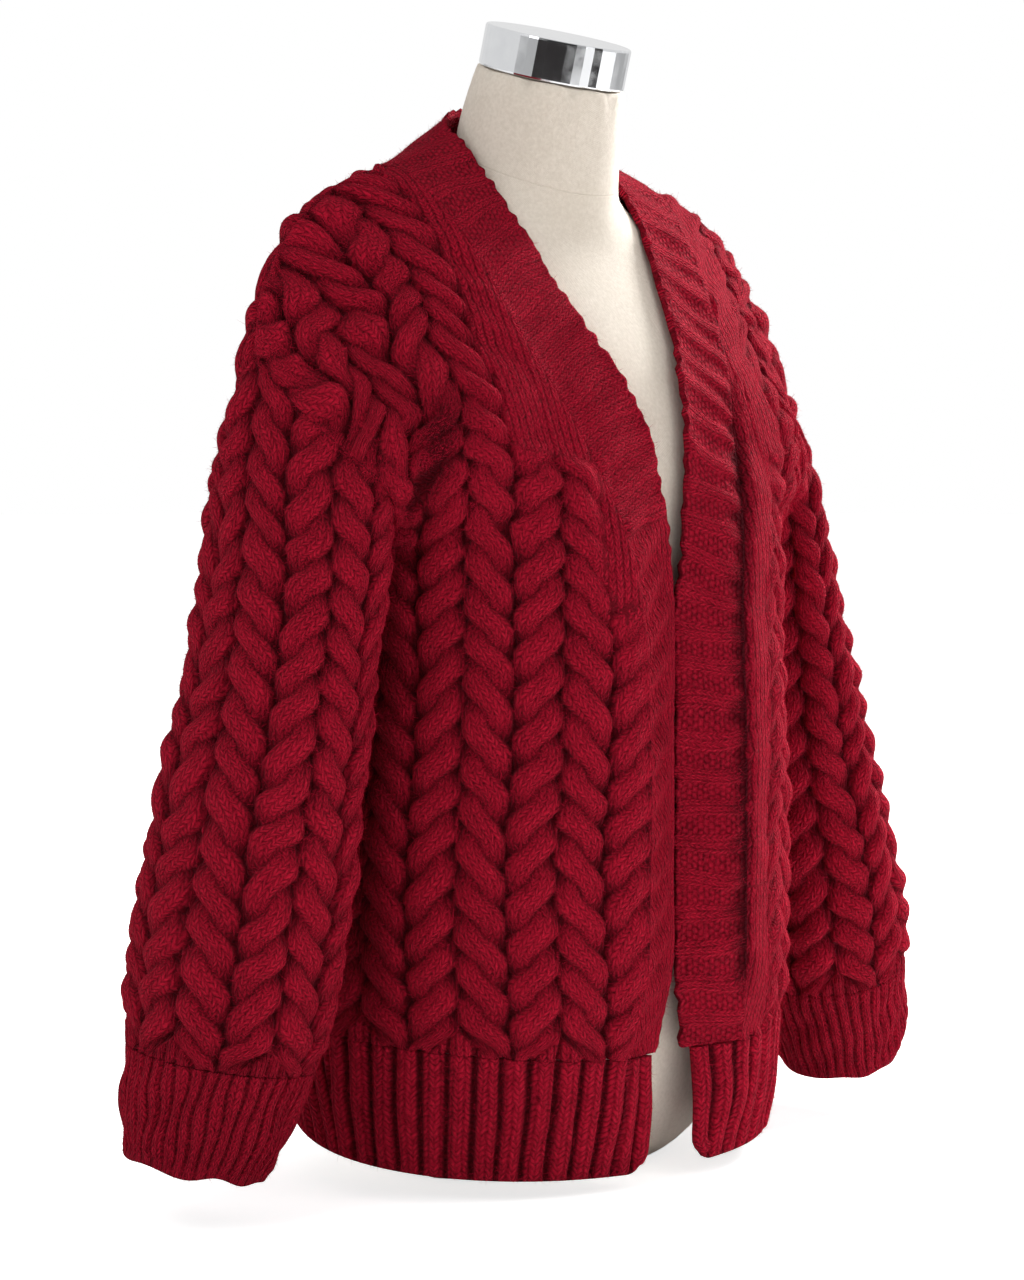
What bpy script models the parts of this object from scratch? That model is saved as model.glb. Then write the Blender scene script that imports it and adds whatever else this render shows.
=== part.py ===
"""A cable-knit cardigan, open in front, worn by a limbless dress form with a chrome neck cap.

The form stands on its flat base at z = 0. Its front faces -Y and the wearer's right is -X.
"Out" is the distance from the centre plane, so one table serves both sides of the garment.
Each knitted piece is a wall: its outer face is lofted through the sections of a table,
and its inner face lies one thickness further in.
"""

import math
from collections import namedtuple

import bmesh
import bpy
import numpy as np
from mathutils import kdtree

# Wall thicknesses of the knit: cabled panels, and the flatter ribs and front band.
CABLE_WALL = 0.0075
RIB_WALL = 0.005
# What a seam keeps open, on the outer and on the inner face.
SEAM_GAP = 0.0002
SEAM_GAP_INSIDE = 0.0004
# Neighbours whose normals differ by more than this share no mitre at their seam.
MITRE_LIMIT = math.radians(125)
# Faces of each piece. Seams have the same points on both sides, so the body's rows above the
# underarm are as many as the faces halfway round a sleeve.
ACROSS_FRONT, ACROSS_NECK, ACROSS_BAND = 10, 6, 3
ROWS_TO_UNDERARM, ROWS_OF_ARMHOLE = 10, 11
ROWS_OF_SLEEVE, ROWS_OF_CUFF, ROWS_OF_RIB = 14, 3, 2
FORM_AROUND = 40

# The front, from the top of the hem rib (at 0) to the shoulder ridge (at 1). edge and seam are
# the two sides of the front band; a section leaves the seam along lead and meets the side along
# trail. Each is (out, y, z). The row past 1 lies beyond the ridge and only rounds it.
Front = namedtuple("Front", "at edge seam lead trail")
FRONT = (
    Front(0.00, (0.011, -0.117, 0.082), (0.052, -0.131, 0.084),
          (0.072, 0.010, 0.004), (0, -0.060, -0.006)),
    Front(0.08, (0.004, -0.122, 0.125), (0.047, -0.141, 0.126),
          (0.073, 0.012, 0.002), (0, -0.064, -0.004)),
    Front(0.20, (0.003, -0.1225, 0.190), (0.045, -0.1435, 0.190),
          (0.075, 0.012, 0.000), (0, -0.066, 0.000)),
    Front(0.40, (0.003, -0.1225, 0.290), (0.045, -0.143, 0.288),
          (0.076, 0.012, -0.002), (0, -0.066, 0.004)),
    Front(0.53, (0.003, -0.1225, 0.365), (0.047, -0.139, 0.356),
          (0.076, 0.010, -0.002), (0, -0.064, 0.010)),
    Front(0.63, (0.010, -0.1225, 0.426), (0.057, -0.131, 0.411),
          (0.072, 0.006, -0.004), (0.002, -0.060, 0.014)),
    Front(0.73, (0.023, -0.110, 0.488), (0.072, -0.110, 0.466),
          (0.060, -0.002, -0.008), (-0.002, -0.042, 0.020)),
    Front(0.84, (0.046, -0.071, 0.553), (0.091, -0.079, 0.526),
          (0.050, 0.002, -0.010), (-0.030, -0.026, 0.022)),
    Front(0.92, (0.060, -0.030, 0.615), (0.106, -0.034, 0.597),
          (0.044, 0.006, -0.010), (-0.022, -0.012, 0.048)),
    Front(1.00, (0.0585, 0.010, 0.654), (0.116, 0.014, 0.633),
          (0.052, 0.000, -0.005), (-0.004, 0.000, 0.074)),
    Front(1.08, (0.049, 0.034, 0.668), (0.116, 0.058, 0.604),
          (0.044, -0.006, -0.010), (-0.014, 0.008, 0.056)),
)

# The free edge of the front band goes on round the neck, from the shoulder to the centre back.
Neck = namedtuple("Neck", "at edge")
NECK = (
    Neck(0.00, (0.0585, 0.010, 0.654)),
    Neck(0.35, (0.0490, 0.034, 0.668)),
    Neck(0.70, (0.0260, 0.053, 0.677)),
    Neck(1.00, (0.0000, 0.059, 0.679)),
)

# The back, from the top of the rib (at 0) to the neck and the shoulder ridge (at 1). centre is on
# the centre plane, left along lead. knot is below the neck's corner, reached from the side of
# arrive and left along pass_by.
Back = namedtuple("Back", "at centre lead arrive knot pass_by trail")
BACK = (
    Back(0.00, (0, 0.148, 0.119), (0.04, 0, 0), (-0.034, 0.018, 0.002), (0.100, 0.125, 0.116),
         (0.034, -0.018, -0.002), (0, 0.052, 0.006)),
    Back(0.20, (0, 0.151, 0.200), (0.04, 0, 0), (-0.034, 0.018, 0.002), (0.102, 0.128, 0.196),
         (0.034, -0.018, -0.002), (0, 0.056, 0.004)),
    Back(0.40, (0, 0.146, 0.295), (0.04, 0, 0), (-0.034, 0.018, 0.003), (0.102, 0.125, 0.290),
         (0.034, -0.018, -0.003), (0, 0.056, 0.006)),
    Back(0.53, (0, 0.138, 0.360), (0.04, 0, 0), (-0.034, 0.016, 0.003), (0.102, 0.120, 0.354),
         (0.034, -0.016, -0.003), (0, 0.054, 0.010)),
    Back(0.65, (0, 0.130, 0.422), (0.04, 0, 0), (-0.034, 0.012, 0.004), (0.104, 0.116, 0.414),
         (0.034, -0.012, -0.004), (-0.008, 0.052, 0.014)),
    Back(0.76, (0, 0.124, 0.485), (0.04, 0, 0), (-0.036, 0.010, 0.008), (0.108, 0.112, 0.474),
         (0.036, -0.010, -0.008), (-0.015, 0.032, 0.020)),
    Back(0.86, (0, 0.117, 0.546), (0.04, 0, 0), (-0.034, 0.012, 0.011), (0.112, 0.100, 0.534),
         (0.036, -0.010, -0.012), (-0.026, 0.020, 0.030)),
    Back(0.93, (0, 0.103, 0.602), (0.04, 0, 0), (-0.026, 0.020, 0.010), (0.116, 0.061, 0.601),
         (0.044, -0.006, -0.010), (-0.014, 0.008, 0.056)),
    Back(1.00, (0, 0.081, 0.641), (0.05, 0, 0), (-0.010, 0.034, 0.006), (0.116, 0.014, 0.633),
         (0.052, 0.000, -0.005), (-0.004, 0.000, 0.074)),
    Back(1.08, (0, 0.060, 0.676), (0.05, 0, 0), (-0.010, 0.034, 0.000), (0.106, -0.034, 0.597),
         (0.044, 0.006, -0.010), (-0.022, -0.012, 0.048)),
)
KNOT = ACROSS_NECK / (ACROSS_NECK + ACROSS_FRONT)  # where the knot lies across the back

# The side seam, from the top of the rib up to the underarm.
UNDERARM = 0.65
Side = namedtuple("Side", "at side")
SIDE = (
    Side(0.00, (0.179, 0.004, 0.100)),
    Side(0.20, (0.180, 0.004, 0.172)),
    Side(0.40, (0.171, 0.004, 0.262)),
    Side(0.53, (0.165, 0.004, 0.322)),
    Side(UNDERARM, (0.164, 0.003, 0.380)),
)

# Sections of a sleeve from the armhole (at 0) to the cuff's seam (at 1). top points from the
# section's centre to its outer side; front and back are its depths before and behind, which skew
# shifts to the inner side. sag lowers the outer quarters of a section, lift raises the inner
# ones, and dip lowers its front.
Sleeve = namedtuple("Sleeve", "at centre top front back skew sag lift dip")
SLEEVE = (
    Sleeve(0.00, (0.198, 0.006, 0.445), (0.034, 0.003, 0.065), 0.065, 0.060, 0.30, 0.014, 0.012, 0.000),
    Sleeve(0.08, (0.206, 0.004, 0.420), (0.038, 0.003, 0.048), 0.067, 0.063, 0.24, 0.009, 0.008, 0.000),
    Sleeve(0.20, (0.213, 0.001, 0.375), (0.042, 0.001, 0.024), 0.069, 0.065, 0.15, 0.003, 0.002, 0.000),
    Sleeve(0.40, (0.226, -0.002, 0.305), (0.048, 0.000, 0.012), 0.069, 0.067, 0.05, 0.000, 0.000, 0.000),
    Sleeve(0.60, (0.241, -0.004, 0.237), (0.054, 0.000, 0.010), 0.070, 0.069, 0.00, 0.000, 0.000, 0.000),
    Sleeve(0.80, (0.257, -0.005, 0.168), (0.056, 0.000, 0.008), 0.071, 0.070, 0.00, 0.000, 0.000, 0.003),
    Sleeve(0.92, (0.264, -0.005, 0.125), (0.056, 0.000, 0.006), 0.068, 0.068, 0.00, 0.000, 0.000, 0.005),
    Sleeve(1.00, (0.270, -0.005, 0.098), (0.052, 0.000, 0.005), 0.061, 0.061, 0.00, 0.000, 0.000, 0.006),
)
CUFF = (
    Sleeve(0.00, (0.2700, -0.005, 0.0974), (0.0500, 0, 0.005), 0.0590, 0.0590, 0, 0, 0, 0.006),
    Sleeve(0.50, (0.2800, -0.004, 0.0640), (0.0470, 0, 0.004), 0.0540, 0.0540, 0, 0, 0, 0.007),
    Sleeve(1.00, (0.2880, -0.003, 0.0365), (0.0400, 0, 0.003), 0.0450, 0.0450, 0, 0, 0, 0.007),
)
# How far the left sleeve hangs further out than the right one at its cuff and further in
# halfway, and how much higher the outer side of its cuff is.
LEFT_SWING = 0.010
LEFT_TUCK = 0.003
LEFT_LIFT = 0.010

# The crease before each underarm, where the shoulder's drape meets the chest: its place across
# the front, its width and its depth, from the underarm (at 0.66) up.
Crease = namedtuple("Crease", "at place width depth")
CREASE = (
    Crease(0.60, 0.84, 0.13, 0.000),
    Crease(0.70, 0.80, 0.13, 0.008),
    Crease(0.80, 0.73, 0.13, 0.013),
    Crease(0.90, 0.67, 0.14, 0.006),
    Crease(0.98, 0.64, 0.14, 0.000),
)

# The hem rib, from its lower edge (at 0) to the panels (at 1).
RibFront = namedtuple("RibFront", "at seam lead trail side")
RIB_FRONT = (
    RibFront(0.0, (0.023, -0.119, 0.0085), (0.098, 0.000, 0.003),
             (0, -0.060, -0.008), (0.170, 0.004, 0.0225)),
    RibFront(0.5, (0.021, -0.122, 0.0460), (0.102, 0.000, 0.003),
             (0, -0.062, -0.008), (0.174, 0.004, 0.0610)),
    RibFront(1.0, (0.019, -0.120, 0.0820), (0.102, 0.000, 0.003),
             (0, -0.062, -0.007), (0.176, 0.004, 0.0985)),
)
RibBack = namedtuple("RibBack", "at centre lead arrive knot pass_by trail side")
RIB_BACK = (
    RibBack(0.0, (0, 0.141, 0.042), (0.04, 0, 0), (-0.032, 0.017, 0.002), (0.096, 0.119, 0.039),
            (0.032, -0.017, -0.002), (0, 0.050, 0.007), (0.170, 0.004, 0.0225)),
    RibBack(0.5, (0, 0.144, 0.080), (0.04, 0, 0), (-0.033, 0.017, 0.002), (0.098, 0.122, 0.077),
            (0.033, -0.017, -0.002), (0, 0.051, 0.007), (0.174, 0.004, 0.0610)),
    RibBack(1.0, (0, 0.145, 0.117), (0.04, 0, 0), (-0.034, 0.018, 0.002), (0.099, 0.122, 0.114),
            (0.034, -0.018, -0.002), (0, 0.052, 0.006), (0.176, 0.004, 0.0985)),
)

# Sections of the dress form, each an oval. height is at the section's centre and tilt is how
# fast it rises backwards; lean moves the section back or forward, and pinch thins its two ends.
Oval = namedtuple("Oval", "height half_width front back tilt lean pinch")
FORM = (
    Oval(0.000, 0.102, 0.062, 0.070, 0.00, 0.000, 0.00),
    Oval(0.012, 0.124, 0.077, 0.086, 0.00, 0.000, 0.00),
    Oval(0.040, 0.149, 0.095, 0.106, 0.00, 0.000, 0.00),
    Oval(0.100, 0.163, 0.106, 0.119, 0.00, 0.000, 0.00),
    Oval(0.180, 0.156, 0.100, 0.111, 0.00, 0.000, 0.00),
    Oval(0.270, 0.124, 0.086, 0.080, 0.00, 0.000, 0.00),
    Oval(0.340, 0.129, 0.099, 0.080, 0.00, 0.000, 0.00),
    Oval(0.400, 0.137, 0.111, 0.086, 0.00, 0.000, 0.10),
    Oval(0.440, 0.142, 0.1125, 0.090, 0.00, 0.000, 0.16),
    Oval(0.490, 0.149, 0.100, 0.094, 0.00, 0.000, 0.22),
    Oval(0.530, 0.157, 0.080, 0.092, 0.03, 0.000, 0.28),
    Oval(0.560, 0.163, 0.064, 0.085, 0.08, 0.000, 0.34),
    Oval(0.583, 0.142, 0.056, 0.074, 0.18, 0.002, 0.40),
    Oval(0.602, 0.1150, 0.0520, 0.067, 0.30, 0.003, 0.30),
    Oval(0.617, 0.0757, 0.050, 0.056, 0.38, 0.001, 0.10),
    Oval(0.630, 0.0560, 0.0495, 0.0520, 0.44, 0.000, 0.02),
    Oval(0.640, 0.0535, 0.0508, 0.0512, 0.46, 0.000, 0.00),
    Oval(0.655, 0.0515, 0.0512, 0.0512, 0.42, -0.002, 0.00),
    Oval(0.675, 0.0492, 0.0492, 0.0492, 0.35, -0.007, 0.00),
    Oval(0.6945, 0.0478, 0.0478, 0.0478, 0.28, -0.0125, 0.00),
)
CAP_HEIGHT = 0.0265
CAP_RADIUS = 0.0472
CAP_EDGE = 0.0015

KNIT_RED = (0.30, 0.012, 0.022, 1)
LINEN = (0.72, 0.66, 0.57, 1)
CHROME = (0.80, 0.81, 0.83, 1)


def read(rows, column, at):
    """A table's column at any place between its rows, on a smooth curve through them."""
    knots = np.array([row.at for row in rows])
    values = np.array([getattr(row, column) for row in rows], float)
    slopes = np.gradient(values, knots, axis=0)
    at = np.asarray(at, float)
    i = np.clip(np.searchsorted(knots, at, side="right") - 1, 0, len(rows) - 2)
    span = knots[i + 1] - knots[i]
    t = (at - knots[i]) / span
    if values.ndim == 2:
        t, span = t[..., None], span[..., None]
    rise = t * t * (3 - 2 * t)
    leave, arrive = t * (1 - t) ** 2 * span, t * t * (t - 1) * span
    return values[i] * (1 - rise) + values[i + 1] * rise + slopes[i] * leave + slopes[i + 1] * arrive


def bow(start, lead, trail, end, u):
    """A cubic curve that leaves start along lead and reaches end from the side of trail."""
    u = np.asarray(u, float)[..., None]
    first, last = start + lead, end + trail
    return start * (1 - u) ** 3 + 3 * first * u * (1 - u) ** 2 + 3 * last * u * u * (1 - u) + end * u**3


def ring(rows, turn, at):
    """A point round a sleeve: turn 0 is the underarm, 1/4 the front, 1/2 the outer side."""
    angle = 2 * math.pi * np.asarray(turn, float)
    depth = np.where(np.sin(angle) > 0, read(rows, "front", at), read(rows, "back", at))
    point = read(rows, "centre", at) - read(rows, "top", at) * np.cos(angle)[..., None]
    point[..., 1] -= depth * np.sin(angle) * (1 + read(rows, "skew", at) * np.cos(angle))
    point[..., 2] -= read(rows, "sag", at) * np.abs(np.sin(angle)) * (1 - np.cos(angle))
    point[..., 2] += read(rows, "lift", at) * np.abs(np.sin(angle)) * (1 + np.cos(angle))
    point[..., 2] -= read(rows, "dip", at) * np.sin(angle)
    return point


def side_edge(at, face):
    """The side seam, and above the underarm the armhole's front (face 1) or back (face -1)."""
    at = np.asarray(at, float)
    turn = face * 0.5 * np.clip((at - UNDERARM) / (1 - UNDERARM), 0, 1)
    seam = read(SIDE, "side", np.minimum(at, UNDERARM))
    return np.where((at <= UNDERARM)[..., None], seam, ring(SLEEVE, turn, np.zeros_like(at)))


def front_face(u, at):
    """A front panel from the band's seam (u 0) to the side (u 1), with its crease pressed in."""
    trail, end = read(FRONT, "trail", at), side_edge(at, 1)
    point = bow(read(FRONT, "seam", at), read(FRONT, "lead", at), trail, end, u)
    nearness = np.exp(-(((u - read(CREASE, "place", at)) / read(CREASE, "width", at)) ** 2))
    held = np.where((at < CREASE[0].at) | (at > CREASE[-1].at), 0, read(CREASE, "depth", at))
    point[..., 1] += held * nearness * (1 - u**4)
    return point


def back_section(rows, side, u, at):
    """A section of the back: a bow from the centre to the knot, and another to the side."""
    knot, arrive = read(rows, "knot", at), read(rows, "arrive", at)
    inner = bow(read(rows, "centre", at), read(rows, "lead", at), arrive, knot, np.minimum(u / KNOT, 1))
    u_outer = np.clip((u - KNOT) / (1 - KNOT), 0, 1)
    outer = bow(knot, read(rows, "pass_by", at), read(rows, "trail", at), side, u_outer)
    return np.where((u < KNOT)[..., None], inner, outer)


def back_face(u, at):
    return back_section(BACK, side_edge(at, -1), u, at)


def rib_front_face(u, at):
    trail, side = read(RIB_FRONT, "trail", at), read(RIB_FRONT, "side", at)
    return bow(read(RIB_FRONT, "seam", at), read(RIB_FRONT, "lead", at), trail, side, u)


def rib_back_face(u, at):
    return back_section(RIB_BACK, read(RIB_BACK, "side", at), u, at)


def band_face(u, at):
    """The front band from its free edge (u 0) to its seam (u 1); past at 1 it rounds the neck."""
    front, neck, rising = np.minimum(at, 1), np.clip(at - 1, 0, 1), (at <= 1)[..., None]
    edge = np.where(rising, read(FRONT, "edge", front), read(NECK, "edge", neck))
    neckline = back_face(KNOT * (1 - neck), np.ones_like(neck))
    seam = np.where(rising, read(FRONT, "seam", front), neckline)
    return edge + (seam - edge) * np.asarray(u, float)[..., None]


def outward(face, u, at, facing, limits=((0, 1), (0, 1))):
    """Unit vectors square to a face, from its slopes across and along."""
    step = 1e-4
    (u0, u1), (at0, at1) = limits
    across = face(np.minimum(u + step, u1), at) - face(np.maximum(u - step, u0), at)
    along = face(u, np.minimum(at + step, at1)) - face(u, np.maximum(at - step, at0))
    square = facing * np.cross(across, along)
    return square / np.linalg.norm(square, axis=-1, keepdims=True)


def drawn_in(points, gap, tube):
    """The points with the piece's edges moved inwards by gap, for the seams."""
    points = points.copy()
    for axis in (0,) if tube else (0, 1):
        lines = np.moveaxis(points, axis, 0)
        for edge, inner in ((0, 1), (-1, -2)):
            step = lines[inner] - lines[edge]
            lines[edge] += gap * step / np.linalg.norm(step, axis=-1, keepdims=True)
    return points


def mirrored(points, side):
    """Points with out as x on the left (side 1) or the right (side -1) of the garment."""
    return points * np.array([side, 1, 1])


def finish(name, mesh, material):
    """A named object with its material, smooth but for its sharp edges."""
    thing = bpy.data.objects.new(name, mesh)
    mesh.materials.append(material)
    mesh.shade_smooth()
    mesh.set_sharp_from_angle(angle=math.radians(50))
    collection.objects.link(thing)
    return thing


def wall(name, outer, inner, material, tube=False):
    """One closed wall between two grids of points, with a rim all round."""
    rows, columns = outer.shape[:2]
    bm = bmesh.new()
    faces = [[[bm.verts.new(p) for p in row] for row in layer] for layer in (outer, inner)]
    span = columns if tube else columns - 1
    for layer in faces:
        for i in range(rows - 1):
            for j in range(span):
                k = (j + 1) % columns
                bm.faces.new((layer[i][j], layer[i][k], layer[i + 1][k], layer[i + 1][j]))
    rims = [[(i, j) for j in range(columns)] + ([(i, 0)] if tube else []) for i in (0, rows - 1)]
    if not tube:
        rims += [[(i, j) for i in range(rows)] for j in (0, columns - 1)]
    for rim in rims:
        for (i, j), (k, m) in zip(rim, rim[1:]):
            bm.faces.new((faces[0][i][j], faces[0][k][m], faces[1][k][m], faces[1][i][j]))
    bmesh.ops.recalc_face_normals(bm, faces=bm.faces)
    mesh = bpy.data.meshes.new(name)
    bm.to_mesh(mesh)
    bm.free()
    return finish(name, mesh, material)


Piece = namedtuple("Piece", "name outer square thickness tube")


def panel(name, face, across, along, side, facing, thickness):
    """A flat-knitted piece on one side of the garment."""
    u, at = np.meshgrid(across, along)
    outer, square = face(u, at), outward(face, u, at, facing)
    return Piece(name, mirrored(outer, side), mirrored(square, side), thickness, False)


def whole_back(name, face, across, along, thickness):
    """A back piece, whole across the centre."""
    u, at = np.meshgrid(across, along)
    outer, square = face(u, at), outward(face, u, at, -1)
    square[:, 0, 0] = 0
    outer, square = [np.concatenate([mirrored(h, -1)[:, :0:-1], h], axis=1) for h in (outer, square)]
    return Piece(name, outer, square, thickness, False)


def tube(name, rows, along, side, thickness):
    """A sleeve or a cuff. The left ones swing out, more so towards the cuff."""

    def face(turn, at):
        point = ring(rows, turn, at)
        if side > 0:
            swing = at**3 if rows is SLEEVE else 1 + 0.4 * at
            tuck = np.sin(math.pi * at) if rows is SLEEVE else 0 * at
            point[..., 0] += LEFT_SWING * swing - LEFT_TUCK * tuck * (1 - np.cos(2 * math.pi * turn))
            point[..., 2] -= LEFT_LIFT * swing * np.cos(2 * math.pi * turn)
        return point

    turns = np.linspace(0, 1, 2 * ROWS_OF_ARMHOLE + 1)[:-1]
    turn, at = np.meshgrid(turns, np.linspace(0, 1, along + 1))
    square = outward(face, turn, at, -1, ((-1, 2), (0, 1)))
    return Piece(name, mirrored(face(turn, at), side), mirrored(square, side), thickness, True)


def front_band(along):
    """One long band: up the right front, round the neck and down the left front."""
    at = np.concatenate([along, 1 + np.linspace(0, 1, ACROSS_NECK + 1)[1:]])
    u, at = np.meshgrid(np.linspace(0, 1, ACROSS_BAND + 1), at)
    outer, square = band_face(u, at), outward(band_face, u, at, 1, ((0, 1), (0, 2)))
    square[-1, :, 0] = 0
    outer, square = [np.concatenate([mirrored(h, -1), h[-2::-1]]) for h in (outer, square)]
    return Piece("front_band", outer, square, RIB_WALL, False)


def mitred_walls(pieces):
    """Each piece as a wall. At a seam the inner faces of both sides run to one shared mitre."""
    points = np.concatenate([piece.outer.reshape(-1, 3) for piece in pieces])
    squares = np.concatenate([piece.square.reshape(-1, 3) for piece in pieces])
    tree = kdtree.KDTree(len(points))
    for i, point in enumerate(points):
        tree.insert(point, i)
    tree.balance()
    shared = squares.copy()
    for i, point in enumerate(points):
        near = np.array([squares[k] for _, k, _ in tree.find_range(point, SEAM_GAP)])
        near = near[near @ squares[i] > math.cos(MITRE_LIMIT)]
        together = near.sum(axis=0)
        shared[i] = len(near) * together / (together @ together)
    start = 0
    for piece in pieces:
        count = piece.outer.shape[0] * piece.outer.shape[1]
        inward = shared[start : start + count].reshape(piece.outer.shape)
        start += count
        outer = drawn_in(piece.outer, SEAM_GAP, piece.tube)
        inner = drawn_in(piece.outer - piece.thickness * inward, SEAM_GAP_INSIDE, piece.tube)
        wall(piece.name, outer, inner, knit, piece.tube)


def oval_points(section, height):
    """One oval of the dress form, its front and back of different depth."""
    turns = 2 * math.pi * np.arange(FORM_AROUND) / FORM_AROUND
    depth = np.where(np.sin(turns) < 0, section.front, section.back)
    depth = depth * (1 - section.pinch * np.cos(turns) ** 2)
    x, y = section.half_width * np.cos(turns), section.lean + depth * np.sin(turns)
    return np.stack([x, y, height + section.tilt * (y - section.lean)], axis=1)


def dress_form():
    """The padded torso, whole and smooth, flat at its base and at the neck's slanted top."""
    bm = bmesh.new()
    rings = [[bm.verts.new(p) for p in oval_points(section, section.height)] for section in FORM]
    for low, high in zip(rings, rings[1:]):
        for j in range(FORM_AROUND):
            k = (j + 1) % FORM_AROUND
            bm.faces.new((low[j], low[k], high[k], high[j]))
    bm.faces.new(rings[0][::-1])
    bm.faces.new(rings[-1])
    bmesh.ops.recalc_face_normals(bm, faces=bm.faces)
    mesh = bpy.data.meshes.new("dress_form")
    bm.to_mesh(mesh)
    bm.free()
    return finish("dress_form", mesh, linen)


def neck_cap():
    """A short chrome drum on the neck, square to the neck's slanted top."""
    top = FORM[-1]
    slant = math.atan(top.tilt)
    bpy.ops.mesh.primitive_cylinder_add(vertices=48, radius=CAP_RADIUS, depth=CAP_HEIGHT)
    cap = bpy.context.object
    cap.name = "neck_cap"
    rise = CAP_HEIGHT / 2 + 0.0003
    cap.location = (0, top.lean - rise * math.sin(slant), top.height + rise * math.cos(slant))
    cap.rotation_euler = (slant, 0, 0)
    edge = cap.modifiers.new("rounded edge", "BEVEL")
    edge.width = CAP_EDGE
    edge.segments = 2
    edge.angle_limit = math.radians(60)
    cap.data.materials.append(chrome)
    cap.data.shade_smooth()
    cap.data.set_sharp_from_angle(angle=math.radians(50))
    for holder in cap.users_collection:
        holder.objects.unlink(cap)
    collection.objects.link(cap)
    return cap


def finish_material(name, colour, roughness, metallic=0.0):
    material = bpy.data.materials.new(name)
    material.use_nodes = True
    shader = material.node_tree.nodes["Principled BSDF"]
    shader.inputs["Base Color"].default_value = colour
    shader.inputs["Roughness"].default_value = roughness
    shader.inputs["Metallic"].default_value = metallic
    return material


for thing in list(bpy.data.objects):
    bpy.data.objects.remove(thing)
collection = bpy.data.collections.new("cable-knit cardigan")
bpy.context.scene.collection.children.link(collection)

knit = finish_material("knit", KNIT_RED, 0.9)
linen = finish_material("linen", LINEN, 0.85)
chrome = finish_material("chrome", CHROME, 0.08, 1.0)

below = np.linspace(0, UNDERARM, ROWS_TO_UNDERARM + 1)
rows = np.concatenate([below, np.linspace(UNDERARM, 1, ROWS_OF_ARMHOLE + 1)[1:]])
rib_rows = np.linspace(0, 1, ROWS_OF_RIB + 1)
across_front = np.linspace(0, 1, ACROSS_FRONT + 1)
across_back = np.concatenate([np.linspace(0, KNOT, ACROSS_NECK + 1), KNOT + (1 - KNOT) * across_front[1:]])

cloth = [
    whole_back("back", back_face, across_back, rows, CABLE_WALL),
    whole_back("hem_rib_back", rib_back_face, across_back, rib_rows, RIB_WALL),
    front_band(rows),
]
for side, name in ((-1, "right"), (1, "left")):
    cloth += [
        panel(f"front_{name}", front_face, across_front, rows, side, 1, CABLE_WALL),
        panel(f"hem_rib_{name}", rib_front_face, across_front, rib_rows, side, 1, RIB_WALL),
        tube(f"sleeve_{name}", SLEEVE, ROWS_OF_SLEEVE, side, CABLE_WALL),
        tube(f"cuff_{name}", CUFF, ROWS_OF_CUFF, side, RIB_WALL),
    ]
mitred_walls(cloth)
dress_form()
neck_cap()
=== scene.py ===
import math
from collections import namedtuple

import bpy
import numpy as np
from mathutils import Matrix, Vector


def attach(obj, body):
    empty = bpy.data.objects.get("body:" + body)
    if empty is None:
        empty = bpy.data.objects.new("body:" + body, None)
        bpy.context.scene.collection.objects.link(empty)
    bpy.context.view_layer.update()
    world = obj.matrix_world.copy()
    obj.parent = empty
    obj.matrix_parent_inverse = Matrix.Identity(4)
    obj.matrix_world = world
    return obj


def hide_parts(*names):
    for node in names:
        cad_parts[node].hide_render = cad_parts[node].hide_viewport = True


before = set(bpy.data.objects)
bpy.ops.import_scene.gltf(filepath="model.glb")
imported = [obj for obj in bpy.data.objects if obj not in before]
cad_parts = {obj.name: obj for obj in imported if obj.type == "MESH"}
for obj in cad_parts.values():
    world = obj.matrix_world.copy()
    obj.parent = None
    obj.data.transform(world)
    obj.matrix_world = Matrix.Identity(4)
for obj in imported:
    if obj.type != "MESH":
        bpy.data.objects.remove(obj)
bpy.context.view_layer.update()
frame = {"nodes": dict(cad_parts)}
nodes = frame["nodes"]
bpy.ops.object.select_all(action="DESELECT")


# ----------------------------------------------
# The front panels: two pieces of thick crimson wool, hand-knitted from the hem rib up to the
# shoulder ridge. Seven rope cables run side by side up each, and the neck's shaping turns the
# inner ones into plain stockinette beside the band.
SIDES = ((-1, "right"), (1, "left"))  # x is below 0 on the wearer's right
MIRROR = np.array([-1, 1, 1])


def table(columns, *rows):
    """A piece's sizes, a row for each section, read by the columns' names."""
    return [namedtuple("Row", columns)(*row) for row in rows]


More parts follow.
